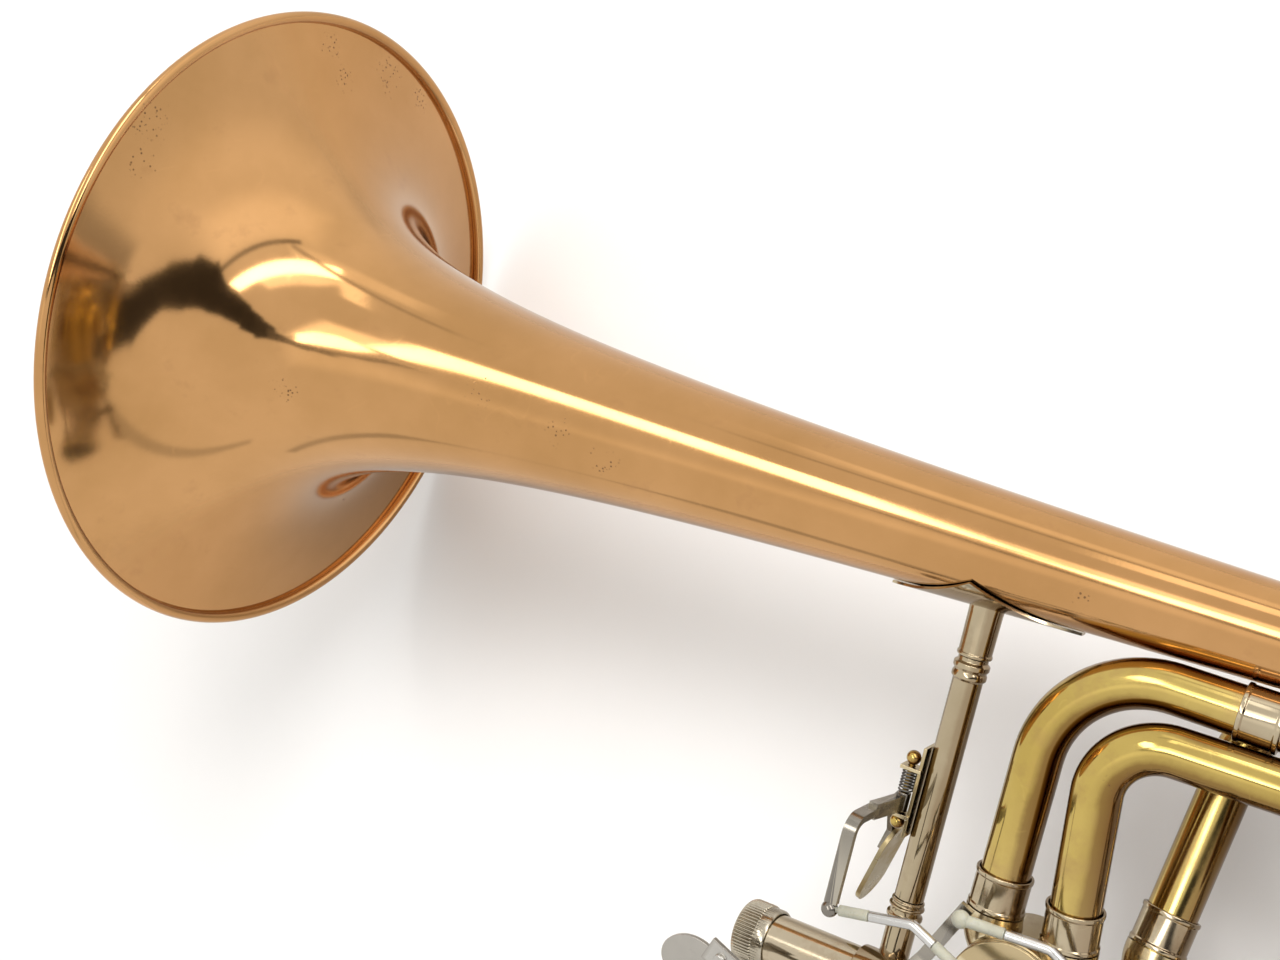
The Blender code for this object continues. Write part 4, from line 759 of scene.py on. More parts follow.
def build_outer_tube(name, end, stop_x, joint_r, outer_r, sides=SIDES_TUBE):
    """Fixed slide tube with the ferrule that is soldered over the joint before it."""
    inner = joint_r + SEAT_GAP
    ferrule = inner + FERRULE_WALL
    bead = ferrule + FERRULE_BEAD
    half = FERRULE_LENGTH / 2
    length = stop_x - end[0] + half
    bore = outer_r - TUBE_WALL
    profile = [(0, inner), (0, bead), (BEAD_LENGTH, bead), (BEAD_LENGTH + 0.5, ferrule),
               (2 * half - BEAD_LENGTH - 0.5, ferrule), (2 * half - BEAD_LENGTH, bead),
               (2 * half, bead), (2 * half, outer_r), (length, outer_r), (length, bore),
               (half + SEAT_GAP, bore), (half + SEAT_GAP, inner)]
    body = lathe(profile, np.asarray(end) - REAR * half, REAR, sides)
    return built_object(name, body, "nickel_silver")


def crook_path(near, far, start_x, step_x, bow_x):
    """U of two straight legs with a half circle, and a mark for the slim leg points."""
    near = np.asarray(near, float) * (0, 1, 1)
    far = np.asarray(far, float) * (0, 1, 1)
    middle = (near + far) / 2 + bow_x * REAR
    spoke = (near - far) / 2
    radius = np.linalg.norm(spoke)
    arc = [middle + math.cos(t) * spoke + math.sin(t) * radius * REAR
           for t in np.linspace(0, math.pi, BOW_STEPS + 1)]
    near_leg = [np.array((x, *near[1:])) for x in (start_x, step_x, step_x + 0.8)]
    far_leg = [np.array((x, *far[1:])) for x in (step_x + 0.8, step_x, start_x)]
    path = np.array(near_leg + arc + far_leg)
    slim = np.zeros(len(path), bool)
    slim[[0, 1, -2, -1]] = True
    return path, slim


def build_crook(name, near, far, start_x, step_x, bow_x, leg_radii, bow_radii, material, sides):
    """Moving half of a tuning slide: slim legs that run in the outer tubes and a wider bow."""
    path, slim = crook_path(near, far, start_x, step_x, bow_x)
    share = np.clip(np.arange(len(path)) - 3, 0, BOW_STEPS) / BOW_STEPS
    legs = leg_radii[0] + (leg_radii[1] - leg_radii[0]) * share
    bow = bow_radii[0] + (bow_radii[1] - bow_radii[0]) * share
    outer = np.where(slim, legs, bow)
    return built_object(name, tube_mesh(path, outer, legs - LEG_WALL, sides), material,
                        pivot=(start_x, *((np.asarray(near) + np.asarray(far)) / 2)[1:]))


def build_strut(name, start, end, rod_r=1.9, pad_r=4.2, pad_length=1.2, material="nickel_silver"):
    """Cross brace with a round pad at each end."""
    start = np.asarray(start, float)
    end = np.asarray(end, float)
    length = np.linalg.norm(end - start)
    profile = [(0, 0), (0, pad_r), (pad_length, pad_r * 0.8), (pad_length + 1.2, rod_r),
               (length - pad_length - 1.2, rod_r), (length - pad_length, pad_r * 0.8),
               (length, pad_r), (length, 0)]
    return built_object(name, lathe(profile, start, end - start, 10), material)


def coil_path(centre, axis, radius, turns, length, reference, points=SPRING_POINTS):
    first, second = side_frame(axis, reference)
    count = int(points * turns) + 1
    angle = np.linspace(0, 2 * math.pi * turns, count)
    along = np.linspace(0, length, count)
    return (np.asarray(centre, float) + np.outer(along, unit(axis))
            + radius * (np.outer(np.cos(angle), first) + np.outer(np.sin(angle), second)))


def transport_rod(path, radius, sides=12):
    """Rod that keeps one frame along a coil, for springs."""
    tangents = path_tangents(path)
    first = side_frame(tangents[0])[0]
    rings = []
    turns = 2 * math.pi * np.arange(sides) / sides
    for point, tangent in zip(path, tangents):
        first = unit(first - (first @ tangent) * tangent)
        second = np.cross(tangent, first)
        rings.append(point + radius * (np.outer(np.cos(turns), first)
                                       + np.outer(np.sin(turns), second)))
    verts, faces = stitch(rings, closed=False)
    faces.append(tuple(range(sides)))
    faces.append(tuple(range(len(verts) - sides, len(verts))))
    return verts, faces


def build_loop_tubes():
    """Tubes A to D from the valve elbows to the slides, with their ferrules."""
    seat_a = tube_seat(CORNER_A, UP_A)
    top_a = np.array((F_TUBE_X, F_NEAR_Y, F_NEAR_Z))
    end_a = np.array((F_COUPLING_X + FERRULE_LENGTH / 2, F_NEAR_Y, F_NEAR_Z))
    build_tube("loop_tube_a", bend_path([seat_a, top_a, end_a], [F_BEND_R]))
    seat_b = tube_seat(CORNER_B, UP_B)
    top_b = line_point(B_LOWER, B_LEAN, B_RUN_Y)
    drop = np.array((B_DROP_X, B_RUN_Y, B_RUN_Z))
    low_b = np.array((B_DROP_X + B_DROP_RUN, F_FAR_Y, F_NEAR_Z))
    end_b = low_b + REAR * 22
    build_tube("loop_tube_b", bend_path([seat_b, top_b, drop, low_b, end_b],
                                        [B_BEND_R, B_DROP_BEND_R, B_DROP_BEND_R]))
    seat_c = tube_seat(CORNER_C, UP_C)
    top_c = line_point(C_LOWER, C_LEAN, C_RUN_Y)
    end_c = np.array((G_COUPLING_X, C_RUN_Y, top_c[2]))
    build_tube("loop_tube_c", bend_path([seat_c, top_c, end_c], [C_BEND_R]))
    seat_d = CORNER_D + REAR * (ELBOW_REACH + ELBOW_LENGTH - TUBE_SOCKET)
    swing = np.array((D_SWING_X, D_RUN_Y, VALVE_2[2]))
    low_d = np.array((D_SWING_X + D_SWING_RUN, D_RUN_Y, top_c[2]))
    end_d = np.array((low_d[0] + 12, D_RUN_Y, top_c[2]))
    path_d = bend_path([seat_d, swing, low_d, end_d], [D_SWING_BEND_R, D_SWING_BEND_R])
    joint_d = ferrule_seat(CORNER_D, REAR)
    built_object("loop_tube_d", tube_mesh(path_d, TUBE_R, TUBE_R - TUBE_WALL), "yellow_brass",
                 add=[tube_mesh(straight(joint_d, joint_d + REAR * FERRULE_LENGTH),
                                TUBE_R + SEAT_GAP + FERRULE_WALL, TUBE_R - TUBE_WALL / 2)])
    for label, corner, onward in (("a", CORNER_A, UP_A), ("b", CORNER_B, UP_B),
                                  ("c", CORNER_C, UP_C)):
        build_ferrule(f"elbow_ferrule_{label}", ferrule_seat(corner, onward), onward, TUBE_R)
    return end_a, end_b, end_c, end_d


def build_valve_slide(label, near_end, far_end, outer_end_x, crook_x, insert):
    """Fixed outer tubes, their coupling ferrules and the sliding crook of one valve loop."""
    for side, end in (("near", near_end), ("far", far_end)):
        build_outer_tube(f"{label}_outer_tube_{side}", end, outer_end_x, TUBE_R, TUBE_R)
    leg = TUBE_R - TUBE_WALL - SLIDE_GAP
    build_crook(f"{label}_slide_crook", near_end, far_end, outer_end_x - insert,
                outer_end_x + SEAT_GAP, crook_x, (leg, leg), (TUBE_R, TUBE_R), "yellow_brass",
                SIDES_TUBE)
    inset = np.array((0.0, -TUBE_R - SEAT_GAP, 0.0))
    at = np.array((crook_x - 6.0, 0, 0))
    build_strut(f"{label}_slide_brace", at + near_end * (0, 1, 1) + inset,
                at + far_end * (0, 1, 1) - inset)
    if label == "second":
        return
    fixed = np.array((outer_end_x - 24.0, 0, 0))
    build_strut(f"{label}_outer_brace", fixed + near_end * (0, 1, 1) + inset,
                fixed + far_end * (0, 1, 1) - inset)


def build_main_slide():
    """Bell-side and neck-side outer tubes and the wide bow that tunes the instrument."""
    neck = np.array((BELL_END_X, MAIN_NECK_Y, 0.0))
    bell_end = np.array((BELL_END_X, 0.0, 0.0))
    wide = MAIN_BELL_OUTER_R
    slim = MAIN_NECK_OUTER_R
    for label, end, radius in (("bell", bell_end, wide), ("neck", neck, slim)):
        joint_r = radius
        if label == "bell":
            joint_r = bell_radius(BELL_END_X - FERRULE_LENGTH / 2) / math.cos(math.pi / SIDES_MAIN)
        build_outer_tube(f"main_outer_tube_{label}", end, MAIN_OUTER_END_X, joint_r, radius, SIDES_MAIN)
    legs = (wide - TUBE_WALL - SLIDE_GAP, slim - TUBE_WALL - SLIDE_GAP)
    build_crook("main_slide_bow", bell_end, neck, MAIN_OUTER_END_X - MAIN_INSERT,
                MAIN_OUTER_END_X + SEAT_GAP, MAIN_BOW_X, legs, (wide, slim), "yellow_brass",
                SIDES_MAIN)
    for label, x, rear in (("outer", MAIN_OUTER_END_X - 40, False), ("slide", MAIN_BOW_X - 12, True)):
        inside = abs(MAIN_BRACE_Z) - MAIN_BRACE_PAD_R
        drop = math.sqrt(wide ** 2 - inside ** 2) + SEAT_GAP
        rise = math.sqrt(slim ** 2 - inside ** 2) + SEAT_GAP
        build_strut(f"main_{label}_brace", (x, -drop, MAIN_BRACE_Z),
                    (x, MAIN_NECK_Y + rise, MAIN_BRACE_Z), 2.2, MAIN_BRACE_PAD_R)




def build_neck():
    """Receiver with its flange, the tube into the first valve, and the tubes behind it."""
    front = np.array(RECEIVER_FRONT)
    ahead = unit(RECEIVER_DIR)
    length = RECEIVER_LENGTH
    lip = RECEIVER_FLANGE_LENGTH
    profile = [(0, RECEIVER_BORE_R + 0.5), (0, RECEIVER_FLANGE_R), (lip, RECEIVER_FLANGE_R),
               (lip, RECEIVER_R), (length - 0.6, RECEIVER_R), (length, RECEIVER_R - 0.5),
               (length, RECEIVER_BORE_R)]
    built_object("slide_receiver", lathe(profile, front, ahead, 18), "nickel_silver")
    start = front + ahead * (length - NECK_PLUG)
    corner = front + ahead * NECK_CORNER_AT
    port_1 = valve_diagonal(VALVE_1, -1, -1, PORT_REACH - 2.5)
    build_tube("neckpipe", bend_path([start, corner, port_1], [NECK_BEND_R]))
    build_lock_nut(front, ahead)
    out_1 = valve_diagonal(VALVE_1, 1, -1, PORT_REACH - 2.5)
    in_2 = valve_diagonal(VALVE_2, -1, -1, PORT_REACH - 2.5)
    low_x = (VALVE_1[0] + VALVE_2[0] + VALVE_1[1] - VALVE_2[1]) / 2
    corner = np.array((low_x, VALVE_1[1] - (low_x - VALVE_1[0]), 0.0))
    flat = bend_path([out_1 * (1, 1, 0), corner, in_2 * (1, 1, 0)], [LINK_TUBE_BEND_R])
    extra = [flat[0], flat[0] + (flat[1] - flat[0]) * 0.35, flat[0] + (flat[1] - flat[0]) * 0.7]
    after = [flat[-1] + (flat[-2] - flat[-1]) * 0.5]
    path = np.vstack((extra, flat[1:-1], after, flat[-1:]))
    travel = np.concatenate(([0], np.cumsum(np.linalg.norm(np.diff(path, axis=0), axis=1))))
    share = np.clip((travel - 3) / (travel[-1] - 6), 0, 1)
    path[:, 2] = VALVE_1[2] + (VALVE_2[2] - VALVE_1[2]) * share * share * (3 - 2 * share)
    build_tube("valve_link_tube", path)
    out_2 = valve_diagonal(VALVE_2, 1, -1, PORT_REACH - 2.5)
    turn = np.array((VALVE_2[0] + VALVE_2[1] - MAIN_NECK_Y, MAIN_NECK_Y, VALVE_2[2]))
    end = np.array((BELL_END_X, MAIN_NECK_Y, 0.0))
    level = np.array((REAR_NECK_LEVEL_X, MAIN_NECK_Y, 0.0))
    path = bend_path([out_2, turn, level, end], [REAR_NECK_BEND_R, REAR_NECK_LEVEL_BEND_R])
    share = (path[:, 0] - REAR_NECK_WIDEN_X) / (REAR_NECK_LEVEL_X - REAR_NECK_WIDEN_X)
    radii = TUBE_R + (MAIN_NECK_OUTER_R - TUBE_R) * np.clip(share, 0, 1)
    build_tube("rear_neck_tube", path, outer=radii)




def build_lock_nut(front, ahead):
    """Ring that turns behind the receiver flange, with knurling at its front."""
    wide = RECEIVER_FLANGE_R + SEAT_GAP + 0.05
    tight = RECEIVER_R + SEAT_GAP
    knurl = NUT_KNURL_LENGTH
    profile = [(-0.2, wide), (-0.2, NUT_R - 0.55), (0.6, NUT_R), (knurl - 0.4, NUT_R),
               (knurl, NUT_R - 0.55), (NUT_LENGTH - 0.7, NUT_R - 0.55), (NUT_LENGTH, NUT_R - 0.95),
               (NUT_LENGTH, tight), (RECEIVER_FLANGE_LENGTH + 0.4, tight),
               (RECEIVER_FLANGE_LENGTH + 0.4, wide)]
    sides = 2 * NUT_RIDGES
    rings = []
    for distance, radius in profile:
        ring = ring_points(front + distance * ahead, ahead, radius, sides)
        if radius == NUT_R:
            centre = front + distance * ahead
            turns = 2 * math.pi * NUT_RIDGES * np.arange(len(ring)) / len(ring)
            drop = NUT_KNURL_DEPTH / NUT_R * (1 - np.cos(turns)) / 2
            ring = centre + (ring - centre) * (1 - drop)[:, None]
        rings.append(ring)
    built_object("lock_nut", stitch(rings, closed=True), "nickel_silver",
                 pivot=tuple(front + ahead * NUT_LENGTH / 2))


def build_brace():
    """Brace between the bell stem and the slide receiver."""
    axis = np.array((BRACE_X, 0.0, 0.0))
    to_receiver = (0, -1, 0)
    stem = [(BRACE_X - 45, 0), (BRACE_X - 45, bell_radius(BRACE_X - 45) + SEAT_GAP),
            (BRACE_X + 45, bell_radius(BRACE_X + 45) + SEAT_GAP), (BRACE_X + 45, 0)]
    bore = BRACE_TENON_R + SEAT_GAP
    sleeve_end = -BRACE_SLEEVE_END_Y
    sleeve = [(13.0, 0), (13.0, BRACE_SLEEVE_R + 0.7), (20.5, BRACE_SLEEVE_R + 0.15),
              (sleeve_end - 1.3, BRACE_SLEEVE_R), (sleeve_end - 1.0, BRACE_SLEEVE_R + 0.3),
              (sleeve_end, BRACE_SLEEVE_R + 0.3), (sleeve_end, 0)]
    hole = [(BRACE_TUBE_TOP - 1, 0), (BRACE_TUBE_TOP - 1, bore), (sleeve_end + 1, bore), (sleeve_end + 1, 0)]
    built_object("brace_flange", diamond_flange(), "nickel_silver",
                 add=[lathe(sleeve, axis, to_receiver, 16)],
                 cut=[lathe(stem, (0, 0, 0), (1, 0, 0), 40), lathe(hole, axis, to_receiver, 16)])
    bead = -BRACE_BEAD_Y
    collar_top = -BRACE_COLLAR_TOP_Y
    tube_end = collar_top + BRACE_PLUG
    tube = [(BRACE_TUBE_TOP, BRACE_BORE_R), (BRACE_TUBE_TOP, BRACE_TENON_R),
            (sleeve_end + SEAT_GAP, BRACE_TENON_R), (sleeve_end + SEAT_GAP, BRACE_R),
            (bead - 3.2, BRACE_R), (bead - 2.4, BRACE_BEAD_R), (bead - 1.0, BRACE_BEAD_R),
            (bead, BRACE_R + 0.3), (bead + 1.0, BRACE_BEAD_R - 0.2), (bead + 2.2, BRACE_BEAD_R - 0.2),
            (bead + 3.0, BRACE_R), (collar_top - SEAT_GAP, BRACE_R),
            (collar_top - SEAT_GAP, BRACE_TENON_R), (tube_end, BRACE_TENON_R), (tube_end, BRACE_BORE_R)]
    built_object("brace_tube", lathe(tube, axis, to_receiver, 16), "nickel_silver")
    front = np.array(RECEIVER_FRONT)
    ahead = unit(RECEIVER_DIR)
    seat = front + ahead * (BRACE_X - front[0]) / ahead[0]
    post_end = -seat[1]
    collar = [(collar_top, 0), (collar_top, BRACE_COLLAR_R)]
    for start, length, rise in BRACE_COLLAR_BEADS:
        low = collar_top + start
        collar += [(low, BRACE_COLLAR_R), (low + length * 0.25, BRACE_COLLAR_R + rise),
                   (low + length * 0.75, BRACE_COLLAR_R + rise), (low + length, BRACE_COLLAR_R)]
    collar += [(collar[-1][0] + 0.8, BRACE_POST_R), (post_end, BRACE_POST_R), (post_end, 0)]
    hole = [(collar_top - 1, 0), (collar_top - 1, bore), (tube_end + SEAT_GAP, bore),
            (tube_end + SEAT_GAP, 0)]
    half = BAND_LENGTH / 2
    band = [(-half, 0), (-half, BAND_R), (half, BAND_R), (half, 0)]
    inside = [(-half - 6, 0), (-half - 6, RECEIVER_R + SEAT_GAP), (half + 6, RECEIVER_R + SEAT_GAP),
              (half + 6, 0)]
    built_object("brace_collar", lathe(collar, axis, to_receiver, 16), "nickel_silver",
                 add=[lathe(band, seat, ahead, 20)],
                 cut=[lathe(inside, seat, ahead, 20), lathe(hole, axis, to_receiver, 16)])


def diamond_flange():
    """Long diamond plate bent over the stem, widest at the brace and narrow at both tips."""
    tip = FLANGE_LENGTH / 2
    stations = np.append(np.linspace(-tip, FLANGE_PEAK, 25), np.linspace(FLANGE_PEAK, tip, 25)[1:])
    columns = np.linspace(-1, 1, 25)
    inner = []
    outer = []
    for station in stations:
        x = BRACE_X + FLANGE_SHIFT + station
        side = 1 if station > FLANGE_PEAK else -1
        reach = 1 - abs(station - FLANGE_PEAK) / (tip - side * FLANGE_PEAK)
        half_width = FLANGE_TIP_HALF + (FLANGE_WIDTH / 2 - FLANGE_TIP_HALF) * reach ** 1.15
        base = bell_radius(x) + SEAT_GAP
        for column in columns:
            turn = column * half_width / base
            spoke = np.array((0.0, -math.cos(turn), math.sin(turn)))
            inner.append(np.array((x, 0, 0)) + base * spoke)
            outer.append(np.array((x, 0, 0)) + (base + FLANGE_THICKNESS) * spoke)
    return shell_mesh(np.array(inner), np.array(outer), len(stations), len(columns))


def shell_mesh(inner, outer, rows, columns):
    """Closed plate between two grids of points."""
    count = rows * columns
    faces = []
    for i in range(rows - 1):
        for j in range(columns - 1):
            a = i * columns + j
            faces.append((a, a + 1, a + columns + 1, a + columns))
            faces.append((count + a, count + a + columns, count + a + columns + 1, count + a + 1))
    edge = [j for j in range(columns)] + [i * columns + columns - 1 for i in range(1, rows)]
    edge += [(rows - 1) * columns + j for j in range(columns - 2, -1, -1)]
    edge += [i * columns for i in range(rows - 2, 0, -1)]
    for a, b in zip(edge, edge[1:] + edge[:1]):
        faces.append((a, b, count + b, count + a))
    return np.vstack((inner, outer)), faces


def build_thumb_lever():
    """Thumb lever on its rod beside the brace, with saddle, spring and touch plate."""
    x, z = THUMB_AXIS
    down = (0, -1, 0)
    middle_y = (THUMB_TUBE_TOP_Y + THUMB_TUBE_END_Y) / 2

    def on_axis(y):
        return np.array((x, y, z))

    brace_side = BRACE_X - BRACE_R - SEAT_GAP
    lug_tops = (THUMB_ROD_TOP_Y - THUMB_KNOB_R - SEAT_GAP, THUMB_TUBE_END_Y - SEAT_GAP)
    plate = box_mesh((brace_side - SADDLE_THICKNESS / 2, SADDLE_MIDDLE_Y, 0.6),
                     (SADDLE_THICKNESS / 2, SADDLE_LENGTH / 2, 5.0))
    lugs = [box_mesh(((brace_side + x - LUG_REACH) / 2, top - LUG_THICKNESS / 2, z),
                     ((brace_side - x + LUG_REACH) / 2, LUG_THICKNESS / 2, 2.8)) for top in lug_tops]
    hole = rod_mesh(straight(on_axis(-60), on_axis(-105)), THUMB_ROD_R + SEAT_GAP, 12)
    built_object("thumb_saddle", plate, "yellow_brass", add=lugs, cut=[hole])
    knob = [(distance + THUMB_KNOB_R, radius) for distance, radius in ball_profile(THUMB_KNOB_R, 4, 0.9)]
    length = THUMB_ROD_TOP_Y - THUMB_ROD_END_Y + 2 * THUMB_KNOB_R
    rod = knob + [(length - distance, radius) for distance, radius in knob[::-1]]
    built_object("thumb_hinge_rod", lathe(rod, on_axis(THUMB_ROD_TOP_Y + THUMB_KNOB_R), down, 12),
                 "yellow_brass")
    spring_top = lug_tops[0] - LUG_THICKNESS - SEAT_GAP - SPRING_WIRE_R
    length = spring_top - (THUMB_TUBE_TOP_Y + SEAT_GAP + SPRING_WIRE_R)
    coil = coil_path(on_axis(spring_top), down, SPRING_COIL_R, SPRING_TURNS, length, (1, 0, 0))
    built_object("thumb_spring", transport_rod(coil, SPRING_WIRE_R), "grey_steel")

    tube_length = THUMB_TUBE_TOP_Y - THUMB_TUBE_END_Y
    tube = lathe([(0, THUMB_ROD_R + SEAT_GAP), (0, THUMB_TUBE_R), (tube_length, THUMB_TUBE_R),
                  (tube_length, THUMB_ROD_R + SEAT_GAP)], on_axis(THUMB_TUBE_TOP_Y), down, 12)
    arm_add, arm_cut = thumb_arm(middle_y)
    along, across, face, centre = paddle_frame()
    strap_end = centre - along * PADDLE_LENGTH * 0.16 + face * PADDLE_STRAP_OFFSET
    strap = bend_path([on_axis(middle_y) + (-1.2, 0, -1.0), on_axis(middle_y) + STRAP_KNEE,
                       centre - along * PADDLE_LENGTH * 0.42 + face * PADDLE_STRAP_OFFSET,
                       strap_end], [3.0, 3.0])
    arm_add.append(bar_mesh(strap, 5.0, 2.0, across))
    built_object("thumb_lever", tube, "grey_steel", add=arm_add, cut=[hole] + arm_cut,
                 pivot=tuple(on_axis(middle_y)))
    outline = slot_outline(PADDLE_LENGTH / 2, PADDLE_WIDTH / 2, 5)
    paddle = plate_mesh(outline, centre, across, along, PADDLE_THICKNESS)
    built_object("thumb_paddle", paddle, "yellow_brass", pivot=tuple(on_axis(middle_y)))


def thumb_arm(middle_y):
    """Channel and bar from the tube to the knuckle, with the ball seat and its swing slot."""
    x, z = THUMB_AXIS
    ball = np.array(LINK_1_START)
    arm_top = np.array((x - 3.0, middle_y, THUMB_ARM_TOP_Z))
    root = np.array((x - 0.2, middle_y, z + THUMB_TUBE_R - 0.3))
    channel = bar_mesh(straight(root, arm_top), 5.2, 3.0, (0, 1, 0))
    knee = np.array((ball[0], THUMB_KNEE_Y, ball[2]))
    bar = bend_path([arm_top - (0, 0, 1.5), knee, ball + (0, LINK_KNUCKLE_R - 0.6, 0)], [5.0])
    flat = bar_mesh(bar, LEVER_BAR_WIDTH, LEVER_BAR_THICKNESS, (1, 0, 0))
    knuckle = lathe(ball_profile(LINK_KNUCKLE_R, 6), ball, (0, -1, 0), 14)
    seat = lathe(ball_profile(LINK_BALL_R + SEAT_GAP, 6), ball, (0, -1, 0), 12)
    way = unit(np.array(LINK_1_BENDS[0]) - ball)
    rise = unit(np.cross(way, (0, 1, 0)))
    half = LINK_NECK_R + SEAT_GAP
    reach = LINK_KNUCKLE_R + 1.0
    drop = half + reach * math.sin(math.radians(LINK_SWING_DEG))
    slot = plate_mesh([(0.0, -half), (reach, -drop), (reach, half), (0.0, half)], ball, way, rise,
                      2 * half)
    return [channel, flat, knuckle], [seat, slot]


def paddle_frame():
    """Directions, face normal and centre of the touch plate, from its near edge."""
    top = np.array(PADDLE_EDGE_TOP)
    end = np.array(PADDLE_EDGE_END)
    along = unit(end - top)
    across = unit(np.cross(np.cross(along, PADDLE_FACING), along))
    face = np.cross(across, along)
    return along, across, face, (top + end) / 2 + across * PADDLE_WIDTH / 2


def bar_mesh(path, width, thickness, across):
    """Rectangular bar along a path, its width along the given direction."""
    rings = []
    for point, tangent in zip(path, path_tangents(path)):
        side, other = side_frame(tangent, across)
        rings.append(np.array([point + u * side * width / 2 + v * other * thickness / 2
                               for u, v in ((-1, -1), (1, -1), (1, 1), (-1, 1))]))
    verts, faces = stitch(rings, closed=False)
    faces.append((0, 1, 2, 3))
    faces.append(tuple(range(len(verts) - 4, len(verts))))
    return verts, faces




def tenon_end(path):
    """The path with the tenon that plugs into the rod added behind its start."""
    back = unit(path[0] - path[1])
    return np.vstack((path[0] + back * LINK_PLUG, path[0], path[0] - back * 0.01, path[1:]))


def link_sleeve(path):
    """Sleeve along a path, with a tenon at its start."""
    radii = np.full(len(path) + 2, LINK_SLEEVE_R)
    radii[:2] = LINK_TENON_R
    return rod_mesh(tenon_end(path), radii, 12)


def build_link(number, start, rod_bends, sleeve_at, sleeve_bends, end, stud):
    """Link of two moulded sockets and the rod between them.

    The socket on the lever holds a ball. The ball at the rotor end stays in its socket.
    """
    start = np.array(start)
    end = np.array(end)
    way = unit(np.array(rod_bends[0]) - start)
    first = start + way * LINK_SLEEVE_LENGTH
    sleeve_at = np.array(sleeve_at)
    if stud is None:
        radius = LINK_BALL_R
        root = LINK_KNUCKLE_R + 2 * SEAT_GAP
        head = ball_profile(radius, 5, 0.8) + [(radius, LINK_NECK_R), (root, LINK_NECK_R),
                                               (root, LINK_SLEEVE_R)]
        cut = []
    else:
        head = ball_profile(LINK_SOCKET_R, 6, 0.75)
        cut = [lathe(ball_profile(LINK_BALL_R + SEAT_GAP, 6), start, (0, 0, 1), 12),
               rod_mesh(straight(start, start - (0, 0, LINK_SOCKET_R + 1)), LINK_NECK_R + SEAT_GAP, 10)]
    head += [(LINK_SLEEVE_LENGTH, LINK_SLEEVE_R), (LINK_SLEEVE_LENGTH, LINK_TENON_R),
             (LINK_SLEEVE_LENGTH + LINK_PLUG, LINK_TENON_R), (LINK_SLEEVE_LENGTH + LINK_PLUG, 0)]
    built_object(f"link_{number}_lever_socket", lathe(head, start, way, 12), "nylon", cut=cut,
                 pivot=tuple(start))
    ball = lathe(ball_profile(LINK_SOCKET_R, 6), end, (0, 0, 1), 14)
    corners = [sleeve_at] + [np.array(bend) for bend in sleeve_bends] + [end]
    path = bend_path(corners, [LINK_BEND_R] * len(sleeve_bends))
    built_object(f"link_{number}_rotor_socket", link_sleeve(path), "nylon", add=[ball],
                 pivot=tuple(start))
    corners = [first + way * SEAT_GAP] + [np.array(bend) for bend in rod_bends]
    last = sleeve_at - unit(sleeve_at - corners[-1]) * SEAT_GAP
    path = bend_path(corners + [last], [LINK_BEND_R] * len(rod_bends))
    bores = [rod_mesh(straight(tip - inward, tip + inward * (LINK_PLUG + SEAT_GAP)),
                      LINK_TENON_R + SEAT_GAP, 8)
             for tip, inward in ((path[0], unit(path[1] - path[0])), (path[-1], unit(path[-2] - path[-1])))]
    built_object(f"link_{number}_rod", rod_mesh(path, LINK_ROD_R, 10), "aluminium", cut=bores,
                 pivot=tuple(start))


def ball_stud(ball, foot):
    """Pin from the lever into the socket, with its ball."""
    pin = rod_mesh(straight(foot, ball), LINK_NECK_R, 8)
    return [pin, lathe(ball_profile(LINK_BALL_R, 5), ball, (0, 0, 1), 10)]


